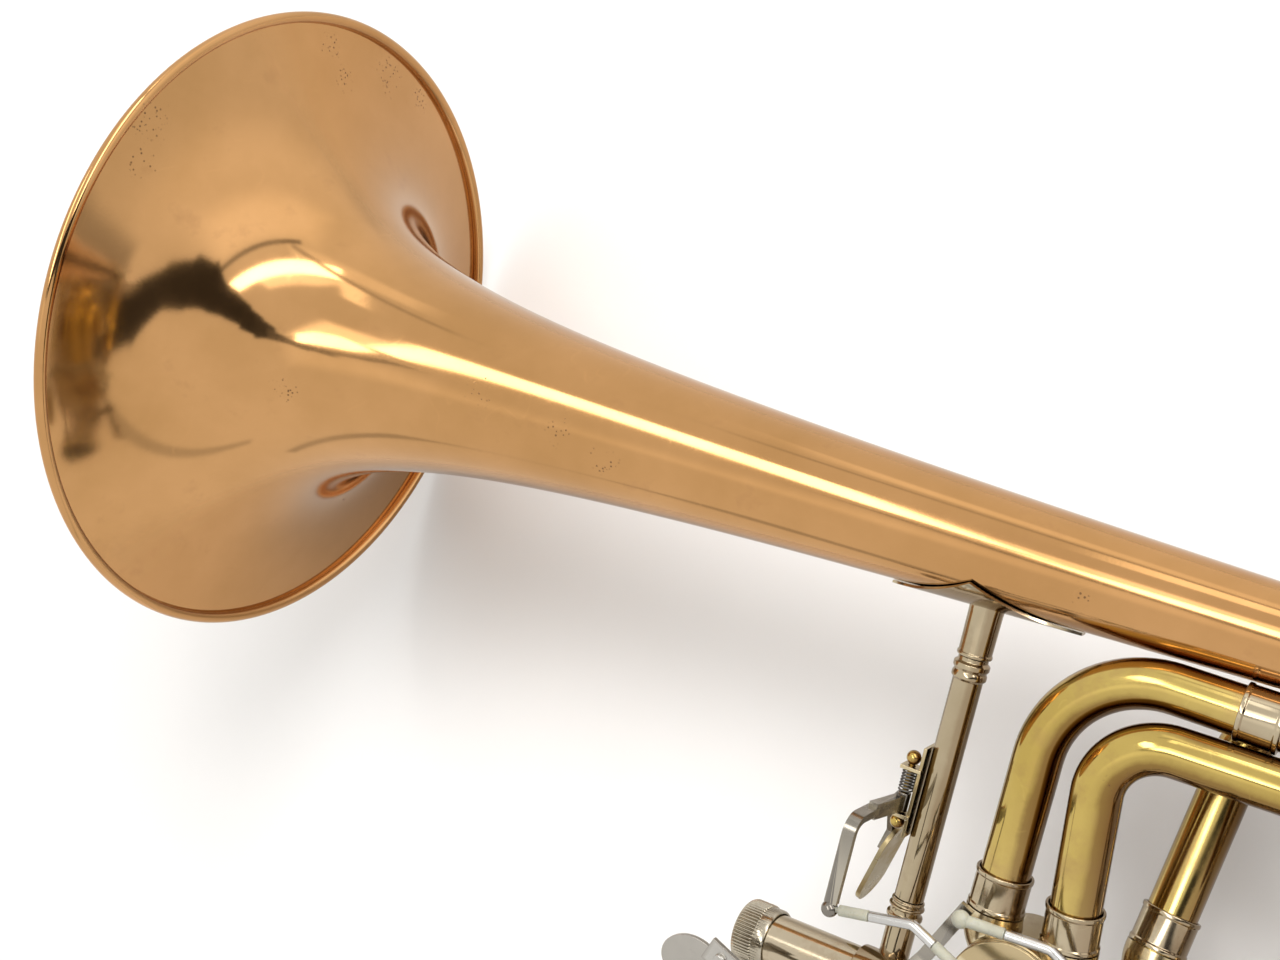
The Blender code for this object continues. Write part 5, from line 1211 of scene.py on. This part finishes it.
def build_finger_lever():
    """Finger lever on a post on the receiver band, with its spring, plate and clamp."""
    x, y = FINGER_AXIS
    front = np.array(RECEIVER_FRONT)
    ahead = unit(RECEIVER_DIR)
    base_z = (front + ahead * (x - front[0]) / ahead[0])[2] + BAND_R + SEAT_GAP + 0.25
    low, high = FINGER_HUB_Z
    post = [(0, 0), (0, 3.4), (1.4, 3.4), (1.8, FINGER_POST_R), (high + SEAT_GAP - base_z, FINGER_POST_R),
            (high + SEAT_GAP - base_z, 3.4), (high + 1.5 - base_z, 3.0), (high + 1.5 - base_z, 0)]
    built_object("finger_post", lathe(post, (x, y, base_z), (0, 0, 1), 14), "yellow_brass")
    start_z = base_z + 1.8 + SEAT_GAP + SPRING_WIRE_R
    length = low - SEAT_GAP - SPRING_WIRE_R - start_z
    coil = coil_path((x, y, start_z), (0, 0, 1), FINGER_SPRING_COIL_R, FINGER_SPRING_TURNS, length,
                     (1, 0, 0))
    built_object("finger_spring", transport_rod(coil, SPRING_WIRE_R), "grey_steel")
    bore = FINGER_POST_R + SEAT_GAP
    hub = [(0, bore), (0, FINGER_HUB_R), (high - low, FINGER_HUB_R), (high - low, bore)]
    ball = np.array(LINK_2_START)
    arm_z = high - 2.2
    level = FINGER_ARM_Z
    arm = bend_path([np.array((x, y + 3.2, arm_z)), np.array((*FINGER_ARM_KNEE, level)),
                     np.array((ball[0], ball[1] + 2.5, level))], [14.0])
    plate = np.array(FINGER_PLATE_CENTRE)
    reach = bend_path([np.array((x - 3.0, y - 1.0, arm_z - 1.5)), np.array((*FINGER_REACH_KNEE, plate[2])),
                       np.array((plate[0] - 6.0, plate[1] + 1.0, plate[2]))], [16.0])
    built_object("finger_lever", lathe(hub, (x, y, low), (0, 0, 1), 16), "grey_steel",
                 add=[bar_mesh(arm, FINGER_BAR_WIDTH, FINGER_ARM_THICKNESS, (1, 0, 0)),
                      bar_mesh(reach, FINGER_BAR_WIDTH, LEVER_BAR_THICKNESS, (0, 1, 0))]
                 + ball_stud(ball, ball * (1, 1, 0) + (0, 0, level)),
                 cut=[rod_mesh(straight((x, y, low - 1), (x, y, high + 1)), bore, 16)],
                 pivot=(x, y, (low + high) / 2))
    top = plate[2] + LEVER_BAR_THICKNESS / 2 + SEAT_GAP
    outline = [(u * 1.15, v * 0.86) for u, v in round_outline(FINGER_PLATE_R, 20)]
    centre = (plate[0], plate[1], top + FINGER_PLATE_THICKNESS / 2)
    built_object("finger_plate", plate_mesh(outline, centre, (1, 0, 0), (0, 1, 0), FINGER_PLATE_THICKNESS),
                 "grey_steel", pivot=(x, y, (low + high) / 2))
    clamp = [(-5.6, -4.0), (5.6, -4.0), (5.6, 4.0), (-5.6, 4.0)]
    screw = [(0, 0), (0, 2.0), (1.6, 2.0), (2.0, 1.4), (2.0, 0)]
    base = top + FINGER_PLATE_THICKNESS + SEAT_GAP + 0.9
    seat = np.array((plate[0] + CLAMP_AT[0], plate[1] + CLAMP_AT[1], base))
    clamp_plate = plate_mesh(clamp, seat, (*CLAMP_TURN, 0), (-CLAMP_TURN[1], CLAMP_TURN[0], 0), 1.8)
    built_object("finger_clamp", clamp_plate, "grey_steel",
                 add=[lathe(screw, seat + (0, 0, 0.3), (0, 0, 1), 12)], pivot=(x, y, (low + high) / 2))



REST = (Matrix.Translation(REST_SHIFT)
        @ Euler([math.radians(angle) for angle in REST_TURN_DEG], "XYZ").to_matrix().to_4x4())
LOOKS = {}
NODE_LOOK = {
    "slide_receiver": "receiver_metal",
    "neckpipe": "receiver_metal",
    "thumb_paddle": "touch_plate",
    "thumb_spring": "dark_steel",
    "finger_spring": "dark_steel",
    "valve_1_casing": "casing_brass",
    "valve_2_casing": "casing_brass",
    "thumb_saddle": "casing_brass",
    "lock_nut": "nut_metal",
    "finger_plate": "lever_bar",
    "finger_clamp": "lever_bar",
}


def add_node(tree, kind, **values):
    node = tree.nodes.new(kind)
    for key, value in values.items():
        if key in node.inputs:
            node.inputs[key].default_value = value
        else:
            setattr(node, key, value)
    return node


def noise(tree, coords, scale, detail=4.0, roughness=0.55, stretch=None):
    """Noise texture in object space, with an optional stretch of its coordinates."""
    node = add_node(tree, "ShaderNodeTexNoise")
    node.inputs["Scale"].default_value = scale
    node.inputs["Detail"].default_value = detail
    node.inputs["Roughness"].default_value = roughness
    if stretch is None:
        tree.links.new(coords, node.inputs["Vector"])
    else:
        mapping = add_node(tree, "ShaderNodeMapping")
        mapping.inputs["Scale"].default_value = stretch
        tree.links.new(coords, mapping.inputs["Vector"])
        tree.links.new(mapping.outputs["Vector"], node.inputs["Vector"])
    return node


def ramp(tree, source, stops, interpolation="LINEAR"):
    node = add_node(tree, "ShaderNodeValToRGB")
    node.color_ramp.interpolation = interpolation
    elements = node.color_ramp.elements
    while len(elements) < len(stops):
        elements.new(0.5)
    for element, (place, colour) in zip(elements, stops):
        element.position = place
        element.color = (*colour, 1.0) if len(colour) == 3 else colour
    tree.links.new(source, node.inputs["Fac"])
    return node


def grey(value):
    return (value, value, value)


def mix_colour(tree, factor, low, high, blend="MIX"):
    node = add_node(tree, "ShaderNodeMix", data_type="RGBA", blend_type=blend)
    for socket, value in ((node.inputs[0], factor), (node.inputs[6], low), (node.inputs[7], high)):
        if isinstance(value, (int, float)):
            socket.default_value = value
        elif isinstance(value, tuple):
            socket.default_value = (*value, 1.0)
        else:
            tree.links.new(value, socket)
    return node.outputs[2]


def bump_of(tree, height, strength, distance):
    node = add_node(tree, "ShaderNodeBump")
    node.inputs["Strength"].default_value = strength
    node.inputs["Distance"].default_value = distance
    tree.links.new(height, node.inputs["Height"])
    return node


WEAR_COLOUR = (0.16, 0.08, 0.035)
# Painted shade: its colour, and the side that is kept free of it
PAINTED_SHADE_COLOUR = (0.15, 0.062, 0.015)
UNSHADED_SIDE = (-0.27, 0.08, 0.96)
BELL_WEAR = (
    (1.6, 68.0, 89.0, 13.0), (3.0, 54.0, 91.0, 10.0), (2.1, 109.0, 9.0, 9.0), (4.9, 98.0, 0.7, 8.0),
    (2.4, 104.0, -27.0, 13.0), (1.7, 100.0, -49.0, 11.0), (115.0, 4.0, 30.0, 8.0),
    (147.0, -1.5, 26.7, 9.0), (165.0, -8.0, 24.0, 9.0), (43.8, -14.0, 46.0, 8.0),
    (325.0, -5.0, 15.7, 7.0))
TUBE_WEAR = ((352.0, -52.0, 24.0, 9.0), (372.0, -56.0, 22.0, 9.0), (330.0, -80.0, 20.0, 6.0))


def math_node(tree, operation, first, second):
    node = add_node(tree, "ShaderNodeMath", operation=operation)
    for socket, value in zip(node.inputs, (first, second)):
        if isinstance(value, (int, float)):
            socket.default_value = value
        else:
            tree.links.new(value, socket)
    return node.outputs["Value"]


def painted_shade_side(tree, cloud):
    """Painted shade and dark reflection on the sides turned from the light and to the table, uneven at its
    border.
    """
    geometry = add_node(tree, "ShaderNodeNewGeometry")
    turned = add_node(tree, "ShaderNodeVectorMath", operation="DOT_PRODUCT")
    tree.links.new(geometry.outputs["Normal"], turned.inputs[0])
    turned.inputs[1].default_value = UNSHADED_SIDE
    uneven = math_node(tree, "MULTIPLY", math_node(tree, "SUBTRACT", cloud, 0.5), 0.45)
    facing = math_node(tree, "ADD", turned.outputs["Value"], uneven)
    return ramp(tree, facing, [(0.30, grey(1.0)), (0.64, grey(0.80)), (0.79, grey(0.20)),
                               (0.93, grey(0.0))]).outputs["Color"]


def scratch_mask(tree, place):
    """Thin curved lines along the contours of a noise, broken up by another noise."""
    curve = noise(tree, place, 26.0, 2.0, 0.5)
    line = ramp(tree, curve.outputs["Fac"], [(0.4965, grey(0.0)), (0.4985, grey(0.4)), (0.5005, grey(0.0))])
    gaps = noise(tree, place, 80.0, 2.0, 0.5)
    part = ramp(tree, gaps.outputs["Fac"], [(0.54, grey(0.0)), (0.60, grey(1.0))])
    return mix_colour(tree, 1.0, line.outputs["Color"], part.outputs["Color"], "MULTIPLY")


def wear_mask(tree, place, spots):
    """Small pits crowded near the given places, which are (x, y, z, radius) on the bell's axes."""
    near = None
    for *centre, radius in spots:
        apart = add_node(tree, "ShaderNodeVectorMath", operation="DISTANCE")
        tree.links.new(place, apart.inputs[0])
        apart.inputs[1].default_value = REST @ (Vector(centre) * MM)
        fade = add_node(tree, "ShaderNodeMapRange", interpolation_type="SMOOTHSTEP")
        fade.inputs["From Min"].default_value = radius * MM
        fade.inputs["From Max"].default_value = radius * MM * 0.2
        tree.links.new(apart.outputs["Value"], fade.inputs["Value"])
        result = fade.outputs["Result"]
        near = result if near is None else math_node(tree, "MAXIMUM", near, result)
    cells = add_node(tree, "ShaderNodeTexVoronoi", feature="F1")
    cells.inputs["Scale"].default_value = 620.0
    tree.links.new(place, cells.inputs["Vector"])
    dot = ramp(tree, cells.outputs["Distance"], [(0.16, grey(0.85)), (0.30, grey(0.0))])
    crowd = noise(tree, place, 260.0, 3.0, 0.6)
    some = math_node(tree, "ADD", crowd.outputs["Fac"], math_node(tree, "MULTIPLY", near, 0.22))
    picked = ramp(tree, some, [(0.60, grey(0.0)), (0.66, grey(1.0))])
    both = mix_colour(tree, 1.0, dot.outputs["Color"], picked.outputs["Color"], "MULTIPLY")
    return mix_colour(tree, 1.0, both, near, "MULTIPLY")


def metal_look(name, tones, rough, tarnish, tarnish_colour, bump, pits=0.0, streak=(1, 1, 1),
               edge_tone=None, wear=(), stain_scale=55.0, lacquer=0.0, painted_shade=0.0):
    """Metal with cloudy tone, tarnish patches, fine scratches, pits, worn edges and, where given, painted
    shade on the sides turned from the light.
    """
    material = bpy.data.materials.new(name)
    material.use_nodes = True
    tree = material.node_tree
    shader = tree.nodes["Principled BSDF"]
    place = add_node(tree, "ShaderNodeTexCoord").outputs["Object"]
    cloud = noise(tree, place, 14.0, 5.0, 0.6)
    tone = ramp(tree, cloud.outputs["Fac"], [(0.36, tones[0]), (0.64, tones[1])])
    spots = noise(tree, place, stain_scale, 6.0, 0.65)
    mask = ramp(tree, spots.outputs["Fac"], [(tarnish[0], grey(0.0)), (tarnish[1], grey(tarnish[2]))])
    colour = mix_colour(tree, mask.outputs["Color"], tone.outputs["Color"], tarnish_colour)
    fine = noise(tree, place, 900.0, 3.0, 0.6, streak)
    smear = noise(tree, place, 30.0, 5.0, 0.7)
    rough_ramp = ramp(tree, smear.outputs["Fac"], [(0.3, grey(rough[0])), (0.7, grey(rough[1]))])
    rough_mix = mix_colour(tree, mask.outputs["Color"], rough_ramp.outputs["Color"],
                           grey(min(1.0, rough[1] + 0.18)))
    if pits:
        cells = add_node(tree, "ShaderNodeTexVoronoi", feature="F1")
        cells.inputs["Scale"].default_value = 95.0
        cells.inputs["Randomness"].default_value = 1.0
        tree.links.new(place, cells.inputs["Vector"])
        dot = ramp(tree, cells.outputs["Distance"], [(0.035, grey(1.0)), (0.07, grey(0.0))])
        rare = ramp(tree, cells.outputs["Color"], [(1.0 - pits, grey(0.0)), (1.0 - pits + 0.02, grey(1.0))])
        both = mix_colour(tree, 1.0, dot.outputs["Color"], rare.outputs["Color"], "MULTIPLY")
        colour = mix_colour(tree, both, colour, (0.10, 0.045, 0.02))
        rough_mix = mix_colour(tree, both, rough_mix, grey(0.7))
    # painted shade: the base colour is darkened on the sides turned from the light
    if painted_shade:
        shade_mask = painted_shade_side(tree, spots.outputs["Fac"])
        colour = mix_colour(tree, math_node(tree, "MULTIPLY", shade_mask, painted_shade), colour, PAINTED_SHADE_COLOUR)
    line = scratch_mask(tree, place)
    colour = mix_colour(tree, line, colour, tuple(min(1.0, part * 1.35) for part in tones[1]))
    rough_mix = mix_colour(tree, line, rough_mix, grey(0.45))
    if wear:
        worn_spots = wear_mask(tree, place, wear)
        colour = mix_colour(tree, worn_spots, colour, WEAR_COLOUR)
        rough_mix = mix_colour(tree, worn_spots, rough_mix, grey(0.6))
    if edge_tone is not None:
        geometry = add_node(tree, "ShaderNodeNewGeometry")
        worn = ramp(tree, geometry.outputs["Pointiness"], [(0.52, grey(0.0)), (0.60, grey(0.8))])
        colour = mix_colour(tree, worn.outputs["Color"], colour, edge_tone)
    tree.links.new(colour, shader.inputs["Base Color"])
    tree.links.new(rough_mix, shader.inputs["Roughness"])
    height = mix_colour(tree, 0.35, fine.outputs["Fac"], smear.outputs["Fac"])
    tree.links.new(bump_of(tree, height, bump, 0.0002).outputs["Normal"], shader.inputs["Normal"])
    shader.inputs["Metallic"].default_value = 1.0
    if lacquer:
        shader.inputs["Coat Weight"].default_value = lacquer
        shader.inputs["Coat Roughness"].default_value = 0.10
    LOOKS[name] = material
    return material


def plastic_look(name, tones, rough, bump, scale, translucent=0.0):
    """Moulded plastic or rubber with mottled tone and a fine moulded grain."""
    material = bpy.data.materials.new(name)
    material.use_nodes = True
    tree = material.node_tree
    shader = tree.nodes["Principled BSDF"]
    place = add_node(tree, "ShaderNodeTexCoord").outputs["Object"]
    cloud = noise(tree, place, scale, 4.0, 0.6)
    tone = ramp(tree, cloud.outputs["Fac"], [(0.35, tones[0]), (0.65, tones[1])])
    tree.links.new(tone.outputs["Color"], shader.inputs["Base Color"])
    grain = noise(tree, place, scale * 14, 3.0, 0.6)
    rough_ramp = ramp(tree, grain.outputs["Fac"], [(0.3, grey(rough[0])), (0.7, grey(rough[1]))])
    tree.links.new(rough_ramp.outputs["Color"], shader.inputs["Roughness"])
    tree.links.new(bump_of(tree, grain.outputs["Fac"], bump, 0.0002).outputs["Normal"],
                   shader.inputs["Normal"])
    if translucent:
        shader.inputs["Subsurface Weight"].default_value = translucent
        shader.inputs["Subsurface Radius"].default_value = (0.002, 0.0016, 0.001)
    LOOKS[name] = material
    return material


def make_looks():
    metal_look("rose_brass", ((0.49, 0.258, 0.092), (0.575, 0.310, 0.122)), (0.07, 0.12),
               (0.60, 0.74, 0.30), (0.36, 0.17, 0.07), 0.03, pits=0.12, wear=BELL_WEAR, lacquer=0.25)
    # the brass tubes carry strong painted shade on their sides turned from the light
    metal_look("yellow_brass", ((0.50, 0.360, 0.090), (0.61, 0.455, 0.135)), (0.06, 0.14),
               (0.50, 0.68, 0.55), (0.36, 0.205, 0.090), 0.04, pits=0.10,
               edge_tone=(0.70, 0.55, 0.26), wear=TUBE_WEAR, stain_scale=34.0, lacquer=0.2, painted_shade=0.9)
    metal_look("casing_brass", ((0.42, 0.33, 0.18), (0.54, 0.43, 0.25)), (0.12, 0.24),
               (0.52, 0.68, 0.45), (0.28, 0.18, 0.09), 0.06, pits=0.10,
               edge_tone=(0.72, 0.62, 0.42))
    # the nickel silver carries a weaker painted shade on its sides turned from the light
    metal_look("nickel_silver", ((0.42, 0.345, 0.225), (0.53, 0.450, 0.315)), (0.06, 0.14),
               (0.54, 0.70, 0.45), (0.28, 0.19, 0.11), 0.05, pits=0.06,
               edge_tone=(0.62, 0.55, 0.40), stain_scale=40.0, painted_shade=0.45)
    metal_look("receiver_metal", ((0.45, 0.38, 0.27), (0.56, 0.48, 0.35)), (0.07, 0.18),
               (0.52, 0.66, 0.50), (0.34, 0.23, 0.12), 0.06, pits=0.18)
    metal_look("nut_metal", ((0.38, 0.335, 0.255), (0.49, 0.440, 0.345)), (0.10, 0.22),
               (0.52, 0.66, 0.5), (0.22, 0.18, 0.13), 0.06, pits=0.1, edge_tone=(0.70, 0.67, 0.60))
    metal_look("grey_steel", ((0.17, 0.155, 0.135), (0.32, 0.295, 0.26)), (0.16, 0.30),
               (0.54, 0.68, 0.45), (0.10, 0.085, 0.065), 0.1, edge_tone=(0.50, 0.46, 0.38))
    metal_look("lever_bar", ((0.40, 0.385, 0.355), (0.54, 0.52, 0.48)), (0.16, 0.30),
               (0.54, 0.68, 0.45), (0.18, 0.16, 0.13), 0.1, edge_tone=(0.24, 0.21, 0.17))
    metal_look("touch_plate", ((0.30, 0.27, 0.21), (0.44, 0.40, 0.31)), (0.20, 0.36),
               (0.48, 0.62, 0.6), (0.30, 0.20, 0.06), 0.1, edge_tone=(0.66, 0.48, 0.14))
    metal_look("dark_steel", ((0.06, 0.055, 0.05), (0.11, 0.10, 0.09)), (0.3, 0.45),
               (0.56, 0.68, 0.4), (0.04, 0.035, 0.03), 0.1, edge_tone=(0.30, 0.29, 0.27))
    metal_look("aluminium", ((0.50, 0.495, 0.48), (0.62, 0.61, 0.59)), (0.18, 0.32),
               (0.56, 0.70, 0.4), (0.32, 0.31, 0.29), 0.12, streak=(0.15, 1, 1))
    plastic_look("nylon", ((0.33, 0.32, 0.26), (0.46, 0.45, 0.36)), (0.22, 0.38), 0.10, 60.0, 0.6)
    plastic_look("cork_rubber", ((0.030, 0.027, 0.024), (0.055, 0.050, 0.045)), (0.6, 0.85), 0.3, 90.0)


CAMERA_PLACE = (426.03, 78.20, 481.47)
CAMERA_RIGHT = (0.8410, 0.2196, -0.4945)
CAMERA_DOWN = (0.2733, -0.9612, 0.0379)
FOCAL_PIXELS = 1606.2
PHOTO_WIDTH = 1280.0
SENSOR_WIDTH = 36.0


def make_camera():
    right = Vector(CAMERA_RIGHT).normalized()
    down = Vector(CAMERA_DOWN)
    down = (down - down.dot(right) * right).normalized()
    ahead = right.cross(down)
    turn = Matrix((right, -down, -ahead)).transposed().to_4x4()
    data = bpy.data.cameras.new("photo_camera")
    data.sensor_width = SENSOR_WIDTH
    data.lens = FOCAL_PIXELS / PHOTO_WIDTH * SENSOR_WIDTH
    data.clip_start = 0.02
    camera = bpy.data.objects.new("photo_camera", data)
    bpy.context.scene.collection.objects.link(camera)
    camera.matrix_world = REST @ (Matrix.Translation(Vector(CAMERA_PLACE) * MM) @ turn)
    bpy.context.scene.camera = camera


def area_light(name, place, aim, size, energy, colour=(1.0, 1.0, 1.0)):
    data = bpy.data.lights.new(name, "AREA")
    data.shape = "RECTANGLE"
    data.size = size[0]
    data.size_y = size[1]
    data.energy = energy
    data.color = colour
    light = bpy.data.objects.new(name, data)
    bpy.context.scene.collection.objects.link(light)
    light.location = place
    way = Vector(aim) - Vector(place)
    light.rotation_euler = way.to_track_quat("-Z", "Y").to_euler()
    light.visible_glossy = False
    return light


def make_floor():
    mesh = bpy.data.meshes.new("table")
    half = FLOOR_HALF
    mesh.from_pydata([(-half, -half, 0), (half, -half, 0), (half, half, 0), (-half, half, 0)], [],
                     [(0, 1, 2, 3)])
    floor = bpy.data.objects.new("table", mesh)
    floor.location = (0, 0, FLOOR_Z)
    mesh.materials.append(LOOKS["table"])
    bpy.context.scene.collection.objects.link(floor)


FLOOR_Z = -0.0005
FLOOR_HALF = 12.0


SKY = (1.0, 0.985, 0.96)


def way_of(azimuth, elevation):
    turn, rise = math.radians(azimuth), math.radians(elevation)
    return Vector((math.cos(rise) * math.cos(turn), math.cos(rise) * math.sin(turn), math.sin(rise)))


def sky_panel(tree, way, corners, soft):
    """Mask of a convex soft-edged panel on the sky; corners are (azimuth, elevation) pairs."""
    points = [way_of(*corner) for corner in corners]
    middle = sum(points, Vector()).normalized()
    inside = None
    for first, second in zip(points, points[1:] + points[:1]):
        normal = first.cross(second).normalized()
        if normal.dot(middle) < 0:
            normal.negate()
        dot = add_node(tree, "ShaderNodeVectorMath", operation="DOT_PRODUCT")
        tree.links.new(way, dot.inputs[0])
        dot.inputs[1].default_value = normal
        if inside is None:
            inside = dot.outputs["Value"]
            continue
        least = add_node(tree, "ShaderNodeMath", operation="SMOOTH_MIN")
        tree.links.new(inside, least.inputs[0])
        tree.links.new(dot.outputs["Value"], least.inputs[1])
        least.inputs[2].default_value = 0.015
        inside = least.outputs["Value"]
    edge = add_node(tree, "ShaderNodeMapRange", interpolation_type="SMOOTHSTEP")
    edge.inputs["From Min"].default_value = -soft
    edge.inputs["From Max"].default_value = soft
    tree.links.new(inside, edge.inputs["Value"])
    return edge.outputs["Result"]


SKY_PANELS = (
    # walls: (azimuth, elevation) corners, softness of the edge, level
    (((14, -18), (105, -18), (100, 24), (12, 24)), 0.14, 1.18),
    (((-14, -40), (110, -44), (104, -22), (5, -20)), 0.10, 0.92),
    (((-2, -36), (6, -34), (5, -15), (-3, -15)), 0.03, 0.48),
    (((20, 0), (80, -2), (74, 20), (18, 20)), 0.12, 1.48),
    (((-130, 64), (-60, 60), (-26, 66), (-30, 76), (-130, 78)), 0.10, 1.28),
    # windows
    (((28, 40), (32, 49), (72, 48), (88, 38)), 0.03, 2.3),
    (((-12, 71), (60, 73), (104, 74), (110, 84), (0, 84)), 0.05, 2.5),
    (((58, 25), (106, 20), (104, 30), (60, 34)), 0.04, 1.5),
    (((84, 36), (84, 50), (93, 51), (94, 36)), 0.02, 2.4),
    (((13.5, 31), (14, 38.5), (84, 37.5), (86, 28)), 0.012, 7.5),
    (((112, 66), (124, 57), (134, 62), (152, 82), (108, 84)), 0.02, 6.8),
    (((-30, 71), (-8, 73), (20, 79), (60, 82.5), (100, 85), (150, 86), (-150, 88.5), (-80, 86),
      (-38, 80)), 0.012, 6.8),
    # thin edges of the table and the window sill
    (((-75, -3), (-75, 0), (-12, -21), (-14, -24)), 0.015, 0.70),
    (((13, 21), (13, 23.5), (66, 23.5), (66, 21)), 0.012, 0.35),
    (((60, 27), (60, 24), (108, 36), (108, 39)), 0.02, 0.70),
    (((-112, 8), (-108, 10), (-93, -12), (-97, -14)), 0.015, 0.62),
    # the dark figure beside the table
    (((-13, -27), (-3.5, -25), (-1, -9), (-11, -9)), 0.012, 0.05),
    (((-12, -11), (-1, -12), (6.5, 1), (-5, 1)), 0.012, 0.05),
    (((-5, -2), (6, -2), (13.5, 12), (-4.5, 12)), 0.012, 0.05),
    (((-4.5, 8), (13.5, 8), (17, 21), (-3, 21)), 0.012, 0.05),
    (((-3, 18), (18, 18), (13.5, 28), (-4, 28)), 0.012, 0.05),
    (((-4, 24), (13.5, 24), (12.5, 39), (-5.5, 39)), 0.012, 0.05),
    (((-5.5, 35), (12.5, 35), (9, 49), (-11, 49)), 0.012, 0.05),
    (((-12, 45), (9, 45), (3, 57), (-21, 57)), 0.014, 0.06),
    (((-21, 53), (4, 53), (-6, 64), (-24, 64)), 0.018, 0.08),
    (((-23, 60), (-8, 60), (-20, 69), (-33, 69)), 0.018, 0.20),
    (((-28, 66), (-21, 68), (-38, 76), (-52, 73)), 0.012, 0.40),
    (((-44, 72.5), (-38, 76.5), (-66, 81), (-76, 77)), 0.014, 0.42),
    (((-64, 77), (-64, 82.5), (-112, 84.5), (-114, 82)), 0.012, 0.55),
    (((-105, 81.5), (-105, 85), (-168, 84.5), (-168, 81)), 0.012, 0.55),
)


def make_world():
    world = bpy.data.worlds.new("studio")
    bpy.context.scene.world = world
    world.use_nodes = True
    tree = world.node_tree
    background = tree.nodes["Background"]
    way = add_node(tree, "ShaderNodeTexCoord").outputs["Generated"]
    colour = tuple(1.04 * part for part in SKY)
    for corners, soft, level in SKY_PANELS:
        mask = sky_panel(tree, way, corners, soft)
        colour = mix_colour(tree, mask, colour, tuple(level * part for part in SKY))
    path = add_node(tree, "ShaderNodeLightPath")
    level = mix_colour(tree, path.outputs["Is Glossy Ray"], grey(SOFT_LIGHT), grey(1.0))
    colour = mix_colour(tree, 1.0, colour, level, "MULTIPLY")
    colour = mix_colour(tree, path.outputs["Is Camera Ray"], colour, (1.0, 1.0, 1.0))
    tree.links.new(colour, background.inputs["Color"])
    background.inputs["Strength"].default_value = 1.0


def make_floor_look():
    """White table: it keeps the soft shadow and shows as white to the camera and in the metal."""
    plastic_look("table", ((0.80, 0.79, 0.78), (0.83, 0.82, 0.81)), (0.5, 0.65), 0.05, 4.0)
    material = LOOKS["table"]
    tree = material.node_tree
    shader = tree.nodes["Principled BSDF"]
    path = add_node(tree, "ShaderNodeLightPath")
    tone = shader.inputs["Base Color"].links[0].from_socket
    tree.links.new(mix_colour(tree, path.outputs["Is Glossy Ray"], tone, TABLE_IN_METAL),
                   shader.inputs["Base Color"])
    glow = add_node(tree, "ShaderNodeEmission")
    glow.inputs["Color"].default_value = (1.0, 0.99, 0.98, 1.0)
    tree.links.new(path.outputs["Is Camera Ray"], glow.inputs["Strength"])
    both = add_node(tree, "ShaderNodeAddShader")
    tree.links.new(shader.outputs["BSDF"], both.inputs[0])
    weak = add_node(tree, "ShaderNodeMixShader")
    weak.inputs["Fac"].default_value = FLOOR_GLOW
    tree.links.new(glow.outputs["Emission"], weak.inputs[2])
    tree.links.new(weak.outputs["Shader"], both.inputs[1])
    clear = add_node(tree, "ShaderNodeBsdfTransparent")
    seen = add_node(tree, "ShaderNodeMixShader")
    beyond = add_node(tree, "ShaderNodeMapRange")
    beyond.inputs["From Min"].default_value = TABLE_REACH
    beyond.inputs["From Max"].default_value = TABLE_REACH + 0.08
    tree.links.new(path.outputs["Ray Length"], beyond.inputs["Value"])
    far_glossy = math_node(tree, "MULTIPLY", beyond.outputs["Result"], path.outputs["Is Glossy Ray"])
    tree.links.new(far_glossy, seen.inputs["Fac"])
    tree.links.new(both.outputs["Shader"], seen.inputs[1])
    tree.links.new(clear.outputs["BSDF"], seen.inputs[2])
    output = tree.nodes["Material Output"]
    tree.links.new(seen.outputs["Shader"], output.inputs["Surface"])


FLOOR_GLOW = 0.06
SOFT_LIGHT = 0.68
TABLE_REACH = 0.22
TABLE_IN_METAL = (0.66, 0.64, 0.62)


def make_lights():
    area_light("window", (0.50, 1.05, 1.55), (0, 0, 0.05), (1.0, 0.75), 26.0, (1.0, 0.995, 0.985))


def build_all():
    build_bell()
    build_brace()
    build_neck()
    elbows_1 = ((-1, CORNER_A, UP_A), (1, CORNER_B, UP_B))
    elbows_2 = ((-1, CORNER_C, UP_C), (1, CORNER_D, REAR))
    for number, valve, elbows, ball, lug_deg, turn in (
            (1, VALVE_1, elbows_1, LINK_1_END, 225.0, 1), (2, VALVE_2, elbows_2, LINK_2_END, 315.0, -1)):
        build_casing(f"valve_{number}_casing", valve, elbows)
        build_rotor(f"valve_{number}_rotor", valve)
        build_valve_plates(number, valve)
        build_stop_arm(number, valve, ball)
        build_bumpers(number, valve, lug_deg, turn)
    end_a, end_b, end_c, end_d = build_loop_tubes()
    build_valve_slide("first", end_a, end_b, F_OUTER_END_X, F_CROOK_X, F_INSERT)
    build_valve_slide("second", end_c, end_d, G_OUTER_END_X, G_CROOK_X, G_INSERT)
    build_main_slide()
    build_thumb_lever()
    build_finger_lever()
    build_link(1, LINK_1_START, LINK_1_BENDS, LINK_1_SLEEVE_AT, LINK_1_SLEEVE_BENDS, LINK_1_END, None)
    build_link(2, LINK_2_START, LINK_2_BENDS, LINK_2_SLEEVE_AT, LINK_2_SLEEVE_BENDS, LINK_2_END, "pin")


make_looks()
make_floor_look()
make_world()
make_floor()
make_lights()
make_camera()
bpy.context.scene.view_settings.view_transform = "Standard"
build_all()
bpy.context.view_layer.update()
